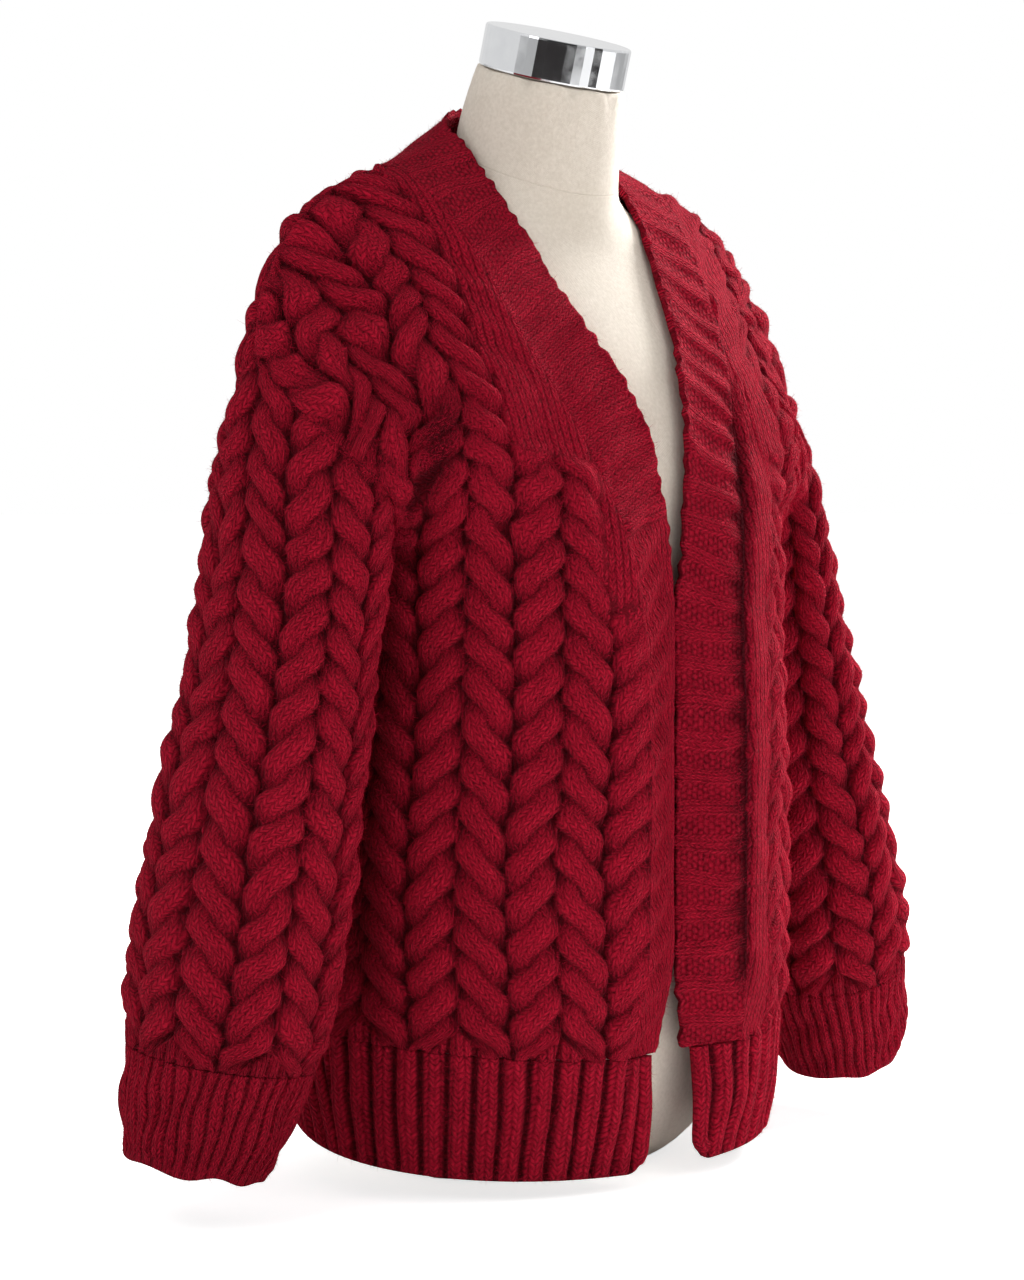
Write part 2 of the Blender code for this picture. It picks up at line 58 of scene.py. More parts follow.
# Sections up the front, at 0 to 1. edge is the band's free edge and seam is where the band is
# sewn on. A section leaves the seam along lead and meets the side along trail.
FRONT = table(
    "at edge seam lead trail",
    (0, (0.011, -0.117, 0.082), (0.052, -0.131, 0.084), (0.072, 0.01, 0.004), (0, -0.06, -0.006)),
    (0.08, (0.004, -0.122, 0.125), (0.047, -0.141, 0.126), (0.073, 0.012, 0.002), (0, -0.064, -0.004)),
    (0.2, (0.003, -0.1225, 0.19), (0.045, -0.1435, 0.19), (0.075, 0.012, 0), (0, -0.066, 0)),
    (0.4, (0.003, -0.1225, 0.29), (0.045, -0.143, 0.288), (0.076, 0.012, -0.002), (0, -0.066, 0.004)),
    (0.53, (0.003, -0.1225, 0.365), (0.047, -0.139, 0.356), (0.076, 0.01, -0.002), (0, -0.064, 0.01)),
    (0.63, (0.01, -0.1225, 0.426), (0.057, -0.131, 0.411), (0.072, 0.006, -0.004), (0.002, -0.06, 0.014)),
    (0.73, (0.023, -0.11, 0.488), (0.072, -0.11, 0.466), (0.06, -0.002, -0.008), (-0.002, -0.042, 0.02)),
    (0.84, (0.046, -0.071, 0.553), (0.091, -0.079, 0.526), (0.05, 0.002, -0.01), (-0.03, -0.026, 0.022)),
    (0.92, (0.06, -0.03, 0.615), (0.106, -0.034, 0.597), (0.044, 0.006, -0.01), (-0.022, -0.012, 0.048)),
    (1, (0.0585, 0.01, 0.654), (0.116, 0.014, 0.633), (0.052, 0, -0.005), (-0.004, 0, 0.074)),
    (1.08, (0.049, 0.034, 0.668), (0.116, 0.058, 0.604), (0.044, -0.006, -0.01), (-0.014, 0.008, 0.056)),
)
UNDERARM = 0.65
SIDE = table(
    "at side",
    (0, (0.179, 0.004, 0.1)),
    (0.2, (0.18, 0.004, 0.172)),
    (0.4, (0.171, 0.004, 0.262)),
    (0.53, (0.165, 0.004, 0.322)),
    (UNDERARM, (0.164, 0.003, 0.38)),
)
# The sleeve's sections also give the armhole, where the panels end.
SLEEVE = table(
    "at centre top front back skew sag lift dip",
    (0, (0.198, 0.006, 0.445), (0.034, 0.003, 0.065), 0.065, 0.06, 0.3, 0.014, 0.012, 0),
    (0.08, (0.206, 0.004, 0.42), (0.038, 0.003, 0.048), 0.067, 0.063, 0.24, 0.009, 0.008, 0),
    (0.2, (0.213, 0.001, 0.375), (0.042, 0.001, 0.024), 0.069, 0.065, 0.15, 0.003, 0.002, 0),
    (0.4, (0.226, -0.002, 0.305), (0.048, 0, 0.012), 0.069, 0.067, 0.05, 0, 0, 0),
    (0.6, (0.241, -0.004, 0.237), (0.054, 0, 0.01), 0.07, 0.069, 0, 0, 0, 0),
    (0.8, (0.257, -0.005, 0.168), (0.056, 0, 0.008), 0.071, 0.07, 0, 0, 0, 0.003),
    (0.92, (0.264, -0.005, 0.125), (0.056, 0, 0.006), 0.068, 0.068, 0, 0, 0, 0.005),
    (1, (0.27, -0.005, 0.098), (0.052, 0, 0.005), 0.061, 0.061, 0, 0, 0, 0.006),
)
# The soft crease that runs up and in across each front from the underarm.
CREASE = table(
    "at place width depth",
    (0.6, 0.84, 0.13, 0),
    (0.7, 0.8, 0.13, 0.008),
    (0.8, 0.73, 0.13, 0.013),
    (0.9, 0.67, 0.14, 0.006),
    (0.98, 0.64, 0.14, 0),
)
# How far the cables have moved towards the armhole (below 0) or away from it.
DRIFT = table(
    "at drift",
    (0, -0.006), (0.12, -0.0065), (0.27, -0.008), (0.42, -0.008), (0.55, -0.009), (0.653, -0.0122),
    (0.717, -0.035), (0.78, -0.039), (0.83, -0.023), (0.863, -0.007), (0.893, 0.014), (0.93, 0.031),
    (1, 0.036),
)
ROPE_WIDTH = 0.0318  # one cable with its gutter
ROPE_PITCH = 0.025  # from one crossing to the next
ROPE_OFFSET = 0.4  # how much later the ropes that lean left cross
# A rope is two strands wound round each other. Both of these are in half widths of the rope.
STRAND_SWAY, STRAND_HALF = 0.43, 0.66
STRAND_SLOPE = math.pi * STRAND_SWAY * ROPE_WIDTH / 2 / ROPE_PITCH
STRAND_ROUND, STRAND_OVER = 0.0064, 0.0030  # how plump a strand is, and its rise over the other
STRAND_LONGER = 1.18  # the length of a strand for each length of its cable
STRAND_UNEVEN = 0.12  # how much plumper or thinner one turn of a strand is than the next
GUTTER = -0.0066  # how deep it is between the cables
CABLE_WALL, LEAST_WALL = 0.0075, 0.0007  # the cloth's thickness, and what is left under a gutter
WALE, COURSE = 0.005, 0.0037  # one stitch, across and along
RIB_PITCH, RIB_KNIT = 0.0142, 0.86  # one ridge of the rib with its groove, and the ridge's share
RIB_DEEP, RIB_RISE = -0.0040, 0.0056  # the rib's grooves, and its ridges above them
FRONT_WALES_FROM = 0.375  # the height where the two inner cables end in stockinette


def read(rows, column, at):
    """A table's column at any place between its rows, on a smooth curve through them."""
    knots = np.array([row.at for row in rows])
    values = np.array([getattr(row, column) for row in rows], float)
    slopes = np.gradient(values, knots, axis=0)
    at = np.asarray(at, float)
    i = np.clip(np.searchsorted(knots, at, side="right") - 1, 0, len(rows) - 2)
    span = knots[i + 1] - knots[i]
    t = (at - knots[i]) / span
    if values.ndim == 2:
        t, span = t[..., None], span[..., None]
    rise = t * t * (3 - 2 * t)
    leave, arrive = t * (1 - t) ** 2 * span, t * t * (t - 1) * span
    return values[i] * (1 - rise) + values[i + 1] * rise + slopes[i] * leave + slopes[i + 1] * arrive


def bow(start, lead, trail, end, u):
    """A cubic curve that leaves start along lead and reaches end from the side of trail."""
    u = np.asarray(u, float)[..., None]
    first, last = start + lead, end + trail
    return start * (1 - u) ** 3 + 3 * first * u * (1 - u) ** 2 + 3 * last * u * u * (1 - u) + end * u**3


def ring(rows, turn, at):
    """A point round a sleeve: turn 0 is the underarm, 1/4 the front, 1/2 the outer side."""
    angle = math.tau * np.asarray(turn, float)
    depth = np.where(np.sin(angle) > 0, read(rows, "front", at), read(rows, "back", at))
    point = read(rows, "centre", at) - read(rows, "top", at) * np.cos(angle)[..., None]
    point[..., 1] -= depth * np.sin(angle) * (1 + read(rows, "skew", at) * np.cos(angle))
    point[..., 2] -= read(rows, "sag", at) * np.abs(np.sin(angle)) * (1 - np.cos(angle))
    point[..., 2] += read(rows, "lift", at) * np.abs(np.sin(angle)) * (1 + np.cos(angle))
    point[..., 2] -= read(rows, "dip", at) * np.sin(angle)
    return point


def side_edge(at, face):
    """The side seam, and above the underarm the armhole's front (face 1) or back (face -1)."""
    at = np.asarray(at, float)
    turn = face * 0.5 * np.clip((at - UNDERARM) / (1 - UNDERARM), 0, 1)
    seam = read(SIDE, "side", np.minimum(at, UNDERARM))
    return np.where((at <= UNDERARM)[..., None], seam, ring(SLEEVE, turn, np.zeros_like(at)))


def front_face(u, at):
    """A front panel from the band's seam (u 0) to the side (u 1), with its crease pressed in."""
    trail, end = read(FRONT, "trail", at), side_edge(at, 1)
    point = bow(read(FRONT, "seam", at), read(FRONT, "lead", at), trail, end, u)
    nearness = np.exp(-(((u - read(CREASE, "place", at)) / read(CREASE, "width", at)) ** 2))
    held = np.where((at < CREASE[0].at) | (at > CREASE[-1].at), 0, read(CREASE, "depth", at))
    point[..., 1] += held * nearness * (1 - u**4)
    return point


def unit(vectors):
    """The same directions, each vector 1 long."""
    return vectors / np.maximum(np.linalg.norm(vectors, axis=-1, keepdims=True), 1e-12)


def outward(face, u, at, facing, limits=((0, 1), (0, 1))):
    """Unit vectors square to a face, from its slopes across and along."""
    step = 1e-4
    (u0, u1), (at0, at1) = limits
    across = face(np.minimum(u + step, u1), at) - face(np.maximum(u - step, u0), at)
    along = face(u, np.minimum(at + step, at1)) - face(u, np.maximum(at - step, at0))
    return unit(facing * np.cross(across, along))


def lengths(points, axis):
    """How far each point lies along its line of the grid, in metres."""
    steps = np.linalg.norm(np.diff(points, axis=axis), axis=-1)
    pad = [(1, 0) if k == axis else (0, 0) for k in (0, 1)]
    return np.pad(np.cumsum(steps, axis=axis), pad)


def ease(value, low, high):
    """0 below low, 1 above high and smooth between."""
    t = np.clip((value - low) / (high - low), 0, 1)
    return t * t * (3 - 2 * t)


def grid_lines(places, counts):
    """Where a grid's lines lie: evenly between each place and the next, so many to each part."""
    parts = [np.linspace(a, b, n + 1)[:-1] for a, b, n in zip(places, places[1:], counts)]
    return np.append(np.concatenate(parts), places[-1])


def waver(x, y, size, seed):
    """An uneven slow wave over a surface, from about -1 to 1, its swells about size apart."""
    total = 0
    for k in range(5):
        turn, bend = seed * 1.7 + k * 2.4, math.tau / size * (0.6 + 0.25 * k)
        total = total + np.sin(bend * (x * math.cos(turn) + y * math.sin(turn)) + seed * (k + 1) * 1.3)
    return total / 2.6


def chance(a, b):
    """A fixed random number from -1 to 1 for each pair of whole numbers."""
    wild = np.sin(a * 12.9898 + b * 78.233) * 43758.5453
    return 2 * (wild - np.floor(wild)) - 1


def rope(column, along, round_about=0):
    """The height of the rope cables above their gutters."""
    which = np.floor(column)
    odd = np.mod(which, 2)
    s = (2 * (column - which) - 1) * (1 - 2 * odd)
    y = along + ROPE_OFFSET * odd
    number = np.round(y)
    rope_number = np.mod(which, round_about) if round_about else which
    winding = math.pi * (y - number)
    sway, over = STRAND_SWAY * np.sin(winding), STRAND_OVER * np.cos(winding)
    half = STRAND_HALF * np.sqrt(1 + (STRAND_SLOPE * np.cos(winding)) ** 2)
    tops = []
    for sign, own in ((1, number), (-1, number + np.sign(y - number))):
        section = np.sqrt(np.clip(1 - ((s - sign * sway) / half) ** 2, 0, 1))
        plump = 1 + STRAND_UNEVEN * chance(own, rope_number)
        tops.append(plump * (STRAND_ROUND * section + sign * over * np.sqrt(section)))
    return np.maximum(np.maximum(*tops), 0)


def drawn_to_pairs(column, height, depth):
    """The cables' last few rows: each left- and right-leaning pair narrows to its shared gutter.
    Returns the columns as they run there, and 1 where purl shows between the pairs."""
    gutter = 2 * np.round(column / 2)
    width = 0.50 + 0.50 * ease(height, 0, depth)
    apart = (column - gutter) / width
    return gutter + np.clip(apart, -0.999, 0.999), ease(np.abs(apart), 0.92, 1.12)


def ribbing(ridge, knit_share):
    """The height of a rib, 0 at the bottom of its purl groove to 1 on its ridge."""
    place = ridge - np.floor(ridge)
    r = np.abs(2 * place / knit_share - 1)
    return np.where(place < knit_share, np.clip(1 - r**2.4, 0, 1) ** 0.6, 0)


def twisted(across, up, twists):
    """Where each point lay before the cables were pulled round, and how far that lifts them."""
    lift = 0
    for t in twists:
        dx, dy = across - t.across, up - t.up
        near = np.exp(-(dx * dx + dy * dy) / t.size**2)
        angle = math.radians(t.turn) * near
        across = t.across + dx * np.cos(angle) - dy * np.sin(angle)
        up = t.up + dx * np.sin(angle) + dy * np.cos(angle)
        lift = lift + t.rise * near
    return across, up, lift


COARSE = 4  # how many squares of a piece's outer grid meet one of its plain inner grid


def numbered(grid, tube, first):
    """A number for each point of a grid, from first on. A tube's last column is its first again."""
    rows, columns = grid.shape[0], grid.shape[1] - tube
    numbers = first + np.arange(rows * columns).reshape(rows, columns)
    return np.concatenate([numbers, numbers[:, :1]], axis=1) if tube else numbers


def corners(numbers):
    """The four corners of each square of a grid, in turn round the square."""
    squares = numbers[:-1, :-1], numbers[:-1, 1:], numbers[1:, 1:], numbers[1:, :-1]
    return [corner.ravel() for corner in squares]


def put(name, data):
    """New data in the scene, as an object at the origin."""
    thing = bpy.data.objects.new(name, data)
    bpy.context.scene.collection.objects.link(thing)
    return thing


def wall(name, outer, inner, tube, turned):
    """One closed wall between a fine outer grid and a coarse inner one."""
    fine = numbered(outer, tube, 0)
    coarse = numbered(inner, tube, fine.max() + 1)
    end = -1 if tube else None
    points = np.concatenate([grid[:, :end].reshape(-1, 3) for grid in (outer, inner)])
    a, b, c, d = corners(fine)
    rising = np.linalg.norm(points[a] - points[c], axis=1) < np.linalg.norm(points[b] - points[d], axis=1)
    faces = [np.where(rising, (a, b, c), (a, b, d)).T, np.where(rising, (a, c, d), (b, c, d)).T]
    a, b, c, d = corners(coarse)
    faces += [np.stack([a, c, b], -1), np.stack([a, d, c], -1)]
    rims = [(fine[0], coarse[0]), (fine[-1, ::-1], coarse[-1, ::-1])]
    if not tube:
        rims += [(fine[:, -1], coarse[:, -1]), (fine[::-1, 0], coarse[::-1, 0])]
    half = COARSE // 2
    for rim, base in rims:
        for k, (here, there) in enumerate(zip(base[:-1], base[1:])):
            run = rim[COARSE * k:]
            faces.append([(run[i + 1], run[i], here if i < half else there) for i in range(COARSE)])
            faces.append([(run[half], here, there)])
    faces = np.concatenate([np.asarray(part) for part in faces])
    mesh = bpy.data.meshes.new(name)
    mesh.from_pydata(points.tolist(), [], (faces[:, ::-1] if turned else faces).tolist())
    mesh.shade_smooth()
    return put(name, mesh)


def whole(grid, tube):
    """A grid's values for each point of a wall: its fine outer grid, then its coarse inner one."""
    end = -1 if tube else None
    return np.concatenate([grid[:, :end].ravel(), grid[::COARSE, ::COARSE][:, :end].ravel()])


def stitch_map(thing, u, v, round_about):
    """The UV map that the stitches follow: u counts cables or ridges, round_about of them on a
    tube, and v goes along them."""
    mesh = thing.data
    index = np.empty(len(mesh.loops), int)
    mesh.loops.foreach_get("vertex_index", index)
    loop_u, loop_v = whole(u, round_about > 0)[index], whole(v, round_about > 0)[index]
    if round_about:
        of_face = loop_u.reshape(-1, 3)
        of_face[of_face < of_face.max(axis=1, keepdims=True) - round_about / 2] += round_about
        loop_u = of_face.ravel()
    layer = mesh.uv_layers.new(name="stitches")
    layer.data.foreach_set("uv", np.stack([loop_u, loop_v], -1).ravel().astype(np.float32))


class Wire:
    """What a node puts out. Sums with it are made of Math nodes."""

    def __init__(self, nodes, socket):
        self.nodes, self.socket = nodes, socket

    def all_outputs(self):
        return [Wire(self.nodes, socket) for socket in self.socket.node.outputs]

    def __add__(self, other):
        return self.nodes.maths("ADD", self, other)

    def __sub__(self, other):
        return self.nodes.maths("SUBTRACT", self, other)

    def __rsub__(self, other):
        return self.nodes.maths("SUBTRACT", other, self)

    def __mul__(self, other):
        return self.nodes.maths("MULTIPLY", self, other)

    def __truediv__(self, other):
        return self.nodes.maths("DIVIDE", self, other)

    def __abs__(self):
        return self.nodes.maths("ABSOLUTE", self)


class Nodes:
    """Adds nodes to a tree in few words. A value or a wire can go into any input."""

    def __init__(self, tree):
        self.tree = tree

    def join(self, value, socket):
        if isinstance(value, Wire):
            self.tree.links.new(value.socket, socket)
        else:
            socket.default_value = value

    def add(self, kind, inputs, output=0, **settings):
        """A new node with these inputs, and the wire from one of its outputs."""
        node = self.tree.nodes.new(kind)
        for name, value in settings.items():
            setattr(node, name, value)
        for name, value in inputs.items():
            self.join(value, node.inputs[name])
        return Wire(self, node.outputs[output])

    def maths(self, operation, *values, clamp=False):
        return self.add("ShaderNodeMath", dict(enumerate(values)), operation=operation, use_clamp=clamp)

    def blend(self, factor, first, second):
        return self.add("ShaderNodeMix", {"Factor": factor, "A": first, "B": second}, data_type="FLOAT")

    def tint(self, factor, first, second):
        return self.add("ShaderNodeMix", {"Factor": factor, 6: first, 7: second}, 2, data_type="RGBA")

    def ramp(self, value, low, high, to_low=0.0, to_high=1.0):
        inputs = dict(enumerate((value, low, high, to_low, to_high)))
        return self.add("ShaderNodeMapRange", inputs, interpolation_type="SMOOTHSTEP")

    def place(self, kind="Object"):
        return self.add("ShaderNodeTexCoord", {}, kind)

    def parts(self, vector):
        return self.add("ShaderNodeSeparateXYZ", {0: vector}).all_outputs()

    def noise(self, scale, detail=2, roughness=0.5, output="Fac"):
        inputs = {"Vector": self.place(), "Scale": scale, "Detail": detail, "Roughness": roughness}
        return self.add("ShaderNodeTexNoise", inputs, output)

    def marked(self, name):
        return self.add("ShaderNodeAttribute", {}, "Fac", attribute_name=name)

    def bump(self, height, strength, distance):
        inputs = {"Height": height, "Strength": strength, "Distance": distance}
        return self.add("ShaderNodeBump", inputs, "Normal")


def effect(name, inputs, outputs):
    """A node group, what adds nodes to it, the wires that come in and the sockets they go out by."""
    group = bpy.data.node_groups.new(name, "ShaderNodeTree")
    for title in inputs:
        group.interface.new_socket(title, in_out="INPUT", socket_type="NodeSocketFloat")
    for title in outputs:
        kind = "NodeSocketColor" if title == "Colour" else "NodeSocketFloat"
        group.interface.new_socket(title, in_out="OUTPUT", socket_type=kind)
    add = Nodes(group)
    given = add.add("NodeGroupInput", {}).all_outputs()[:len(inputs)]
    return group, add, given, group.nodes.new("NodeGroupOutput").inputs


def finish(name, constants):
    """A material, what adds nodes to it, and its shader's inputs with these constants."""
    material = bpy.data.materials.new(name)
    material.use_nodes = True
    looks = material.node_tree.nodes["Principled BSDF"].inputs
    for title, value in constants.items():
        looks[title].default_value = value
    return material, Nodes(material.node_tree), looks


# Stitches: V-shaped legs in columns, or the beads of purl, in counted wales and courses. The
# yarn is handspun, so no two stitches are quite alike.
titles = ("Wales", "Courses", "Purl", "Parted")
stitches, add, (wales, courses, purl, parted), gives = effect("stitches", titles, ("Height",))
pulled = add.noise(230, output="Color")
sideways, lengthways, _ = add.add("ShaderNodeSeparateColor", {0: pulled}).all_outputs()
wales = wales + (sideways - 0.5) * 0.45
courses = courses + (lengthways - 0.5) * 0.9
half = abs(add.maths("FRACT", wales) - 0.5) * 2
climbed = courses - half
thick = add.maths("SQRT", add.maths("SINE", add.maths("FRACT", climbed) * math.pi))
wide = add.maths("SINE", (half * 0.66 + 0.20) * math.pi)
one = add.add("ShaderNodeCombineXYZ", {0: add.maths("FLOOR", wales * 2), 1: add.maths("FLOOR", climbed)})
own = add.add("ShaderNodeTexWhiteNoise", {"Vector": one}, "Value", noise_dimensions="2D")
leg = wide * (thick * 0.85 + 0.15) * (own * 0.50 + 0.72)
leg = leg * (1.15 - add.ramp(half, 0.45, 0.95) * parted)
bar = abs(add.maths("SINE", courses * math.pi))
hump = abs(add.maths("COSINE", (wales + add.maths("FLOOR", courses) * 0.5) * math.pi))
add.join(add.blend(purl, leg, bar * hump * 0.75 + 0.2), gives["Height"])

# Rope cables: the same two strands, for where each one's own stitches run and where they meet.
titles = ("Wales", "Courses", "Crease")
ropes, add, (across, along), gives = effect("rope cables", ("Across", "Along"), titles)
odd = add.maths("FLOORED_MODULO", add.maths("FLOOR", across), 2)
s = (add.maths("FRACT", across) * 2 - 1) * (1 - odd * 2)
y = along + odd * ROPE_OFFSET
number = add.maths("FLOOR", y + 0.5)
on = y - number
sway = add.maths("SINE", on * math.pi) * STRAND_SWAY
facing = add.maths("COSINE", on * math.pi)
strands = []
for sign, past in ((1, 0), (-1, add.maths("SIGN", on))):
    slope = facing * (sign * STRAND_SLOPE)
    slant = add.maths("SQRT", slope * slope + 1)
    beside = s - sway * sign
    off = beside / (slant * STRAND_HALF)
    section = add.maths("SQRT", add.maths("SUBTRACT", 1, off * off, clamp=True))
    rise = section * STRAND_ROUND + facing * add.maths("SQRT", section) * (sign * STRAND_OVER)
    own = number + past
    aside = beside * (ROPE_WIDTH / 2) / slant
    run = (on - past) * (STRAND_LONGER * ROPE_PITCH / COURSE) + aside * slope / COURSE
    strands.append((rise, aside / WALE + own * 0.31, run + own * 0.37))
(rise, wale, course), (other_rise, other_wale, other_course) = strands
under = add.maths("LESS_THAN", rise, other_rise)
add.join(add.blend(under, wale, other_wale), gives["Wales"])
add.join(add.blend(under, course, other_course), gives["Courses"])
# Painted shade: the Crease darkens the cables where their strands meet and down in the gutters, and dents the
# bump there.
meeting = add.ramp(abs(rise - other_rise), 0.0, 0.0034, 0.7, 0)
deep = add.ramp(add.maths("MAXIMUM", rise, other_rise), 0.0014, 0.0076, 1, 0)
add.join(add.maths("MAXIMUM", meeting, deep), gives["Crease"])

# Wool: its colour from the depth of the stitches, as painted shade darker in their hollows, dyed unevenly and
# with a soft fuzz.
WOOL_SHADED_DARK, WOOL_FACE = (0.016, 0.0002, 0.0012, 1), (0.620, 0.0112, 0.0395, 1)
wool, add, (height, shade), gives = effect("dyed wool with painted shade", ("Height", "Shade"), ("Colour", "Bump"))
blotch, fuzz = add.noise(60, 3), add.noise(520, 5, 0.72)
# Painted shade: the stitches' depths and the Shade input darken the colour; the blotches and fuzz are the
# dye's own uneven tone.
light = height * 0.66 + 0.14 + (blotch - 0.5) * 0.35 + (fuzz - 0.5) * 1.3
light = add.maths("MULTIPLY", light, 1 - shade, clamp=True)
add.join(add.tint(light, WOOL_SHADED_DARK, WOOL_FACE), gives["Colour"])
add.join(height + fuzz * 1.1, gives["Bump"])

WOOL_LOOKS = {
    "Roughness": 0.9, "Specular IOR Level": 0.03,
    "Sheen Weight": 0.10, "Sheen Roughness": 0.5, "Sheen Tint": (1.0, 0.16, 0.22, 1),
}


def wool_material(name, layout):
    """A woollen knit. layout counts its wales and courses, and says where it is purl, how far its
    wales part, how much shade is painted on it and how deep its creases are."""
    material, add, looks = finish(name, WOOL_LOOKS)
    across, along, _ = add.parts(add.add("ShaderNodeUVMap", {}, "UV", uv_map="stitches"))
    wales, courses, purl, parted, shade, crease = layout(add, across, along)
    counted = {"Wales": wales, "Courses": courses, "Purl": purl, "Parted": parted}
    height = add.add("ShaderNodeGroup", counted, node_tree=stitches)
    dyed = add.add("ShaderNodeGroup", {"Height": height, "Shade": shade}, node_tree=wool)
    colour, raised = dyed.all_outputs()
    add.join(colour, looks["Base Color"])
    add.join(add.bump(raised - crease * 0.4, 1.0, 0.0018), looks["Normal"])
    return material


def cable_layout(add, across, along):
    """Rope cables, with stockinette where plain is 1 and reverse stockinette where purl is 1."""
    twist = add.add("ShaderNodeGroup", {"Across": across, "Along": along}, node_tree=ropes)
    wales, courses, crease = twist.all_outputs()
    purl = add.marked("purl")
    smooth = add.maths("MAXIMUM", add.marked("plain"), purl)
    flat = add.ramp(smooth + (add.noise(240) - 0.5) * 0.6, 0.45, 0.55)
    wales = add.blend(flat, wales, add.marked("straight") * (ROPE_WIDTH / WALE))
    courses = add.blend(flat, courses, along * (ROPE_PITCH / COURSE))
    crease = crease * add.ramp(smooth, 0.05, 0.55, 1, 0)
    # Painted shade: darker in the creases and gutters, over reverse stockinette, in the sunk grooves and
    # hollows, and under the arm.
    shade = add.maths("MAXIMUM", crease * 0.84, purl * 0.65)
    shade = add.maths("MAXIMUM", shade, add.marked("sunk") * 0.85)
    return wales, courses, add.ramp(purl, 0.4, 0.6), add.blend(flat, 0.15, 0.75), shade, crease


cabled = (CABLE_WALL, wool_material("cabled wool", cable_layout))
FIBRE_LOOKS = {"Base Color": (0.46, 0.009, 0.032, 1), "Roughness": 1.0, "Specular IOR Level": 0.05}
loose_wool = finish("loose fibres", FIBRE_LOOKS)[0]
RAISED = -0.0035  # loose fibres stand where the relief is higher than this
FIBRE_HALF_WIDTH, FIBRE_SHORT, FIBRE_LONG = 0.00013, 0.0016, 0.0056


def fibres(name, outer, square, relief, count):
    """Loose fibres that stand off the raised stitches, each a single thin face."""
    rng = np.random.default_rng(count)
    i = rng.integers(0, outer.shape[0] - 1, 3 * count)
    j = rng.integers(0, outer.shape[1] - 1, 3 * count)
    raised = relief[i, j] > RAISED
    i, j = i[raised][:count], j[raised][:count]
    corner = outer[i, j]
    beside, ahead = outer[i, j + 1] - corner, outer[i + 1, j] - corner
    a, b, length = rng.random((3, len(i), 1))
    up = unit(np.cross(beside, ahead))
    up *= np.sign(np.sum(up * square[i, j], axis=1, keepdims=True))
    way = rng.normal(size=corner.shape)
    way -= up * np.sum(way * up, axis=1, keepdims=True)
    way = unit(way) + up * (0.15 + 0.9 * a * b)
    flank = unit(np.cross(way, up)) * FIBRE_HALF_WIDTH
    root = corner + a * beside + b * ahead + 0.00005 * up
    tip = root + way * (FIBRE_SHORT + (FIBRE_LONG - FIBRE_SHORT) * length**4)
    points = np.stack([root - flank, root + flank, tip], axis=1).reshape(-1, 3)
    mesh = bpy.data.meshes.new(name)
    mesh.from_pydata(points.tolist(), [], np.arange(len(points)).reshape(-1, 3).tolist())
    mesh.materials.append(loose_wool)
    thing = put(name, mesh)
    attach(thing, "root")


def knit_up(node, face, relief, u, v, marks, side, facing, wool, loose, round_about=0):
    """The knitted piece that takes a node's place: its relief stands on its face, its back is
    plain and loose fibres stand off it. wool is how thick it is and its material."""
    (base, square), (thickness, material), tilt = face, wool, np.array([side, 1, 1])
    relief = np.maximum(relief, LEAST_WALL - thickness)
    outer = (base + square * relief[..., None]) * tilt
    fibres(f"fibres_{node}", outer, square * tilt, relief, loose)
    inner = (base - square * thickness)[::COARSE, ::COARSE] * tilt
    thing = wall(f"knitted_{node}", outer, inner, round_about > 0, facing * side < 0)
    stitch_map(thing, u, v, round_about)
    for title, grid in marks.items():
        layer = thing.data.attributes.new(title, "FLOAT", "POINT")
        values = whole(np.broadcast_to(grid, u.shape), round_about > 0)
        layer.data.foreach_set("value", values.astype(np.float32))
    thing.data.materials.append(material)
    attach(thing, "root")
    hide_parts(node)
    return thing


def held(relief, *edges):
    """The relief brought to its own depth at each edge: how far off it is, the depth, the reach."""
    for gap, depth, reach in edges:
        free = ease(gap, 0, reach)
        relief = relief * free + depth * (1 - free)
    return relief


def run_into_rib(relief, between, foot, ribs):
    """The cables' last rows, with the rib's ridges between them, and where its purl shows."""
    return relief * (1 - between) + foot * between, between * (1 - ease(ribs, 0.05, 0.35))


def groove(at, from_seam, height, reach):
    """How deep the left band's seam lies, 1 at its deepest, with a ragged edge. The same mask darkens the
    groove with painted shade.
    """
    reach = reach * (1 + 0.35 * waver(height, 0, 0.016, 2))
    return ease(at, 0.03, 0.10) * (1 - ease(at, 0.70, 0.85)) * np.exp(-((from_seam / reach) ** 2))


u, at = np.meshgrid(np.linspace(0, 1, 161), grid_lines((0, UNDERARM, 1), (232, 168)))
base = front_face(u, at)
square = outward(front_face, u, at, 1)
from_band = lengths(base, 1)
from_side = from_band[:, -1:] - from_band
height = lengths(base, 0)
top_edge = height[-1:] - height
slack = ease(at, 0.76, 0.92)
SHOULDER_TWISTS = table(
    "across up size turn rise",
    (0.026, 0.398, 0.026, 55, 0.0055), (0.062, 0.43, 0.018, -25, 0.003),
    (0.018, 0.45, 0.02, -30, 0.0045), (0.05, 0.475, 0.02, 35, 0.0045),
    (0.085, 0.47, 0.018, 20, 0.003), (0.025, 0.5, 0.02, 35, 0.0035),
    (0.105, 0.425, 0.018, -20, 0.002),
)
pulled_across, pulled_up, lift = twisted(from_side, height, SHOULDER_TWISTS)
FIRST_ROPE = 0.00175  # how far the first cable lies from the side
run = (pulled_across - FIRST_ROPE - read(DRIFT, "drift", at)) / ROPE_WIDTH
run = run + (0.02 + 0.08 * slack) * waver(from_side, height, 0.075, 3)
crossing = pulled_up / ROPE_PITCH + (0.09 + 0.16 * slack) * waver(from_side, height, 0.09, 5)
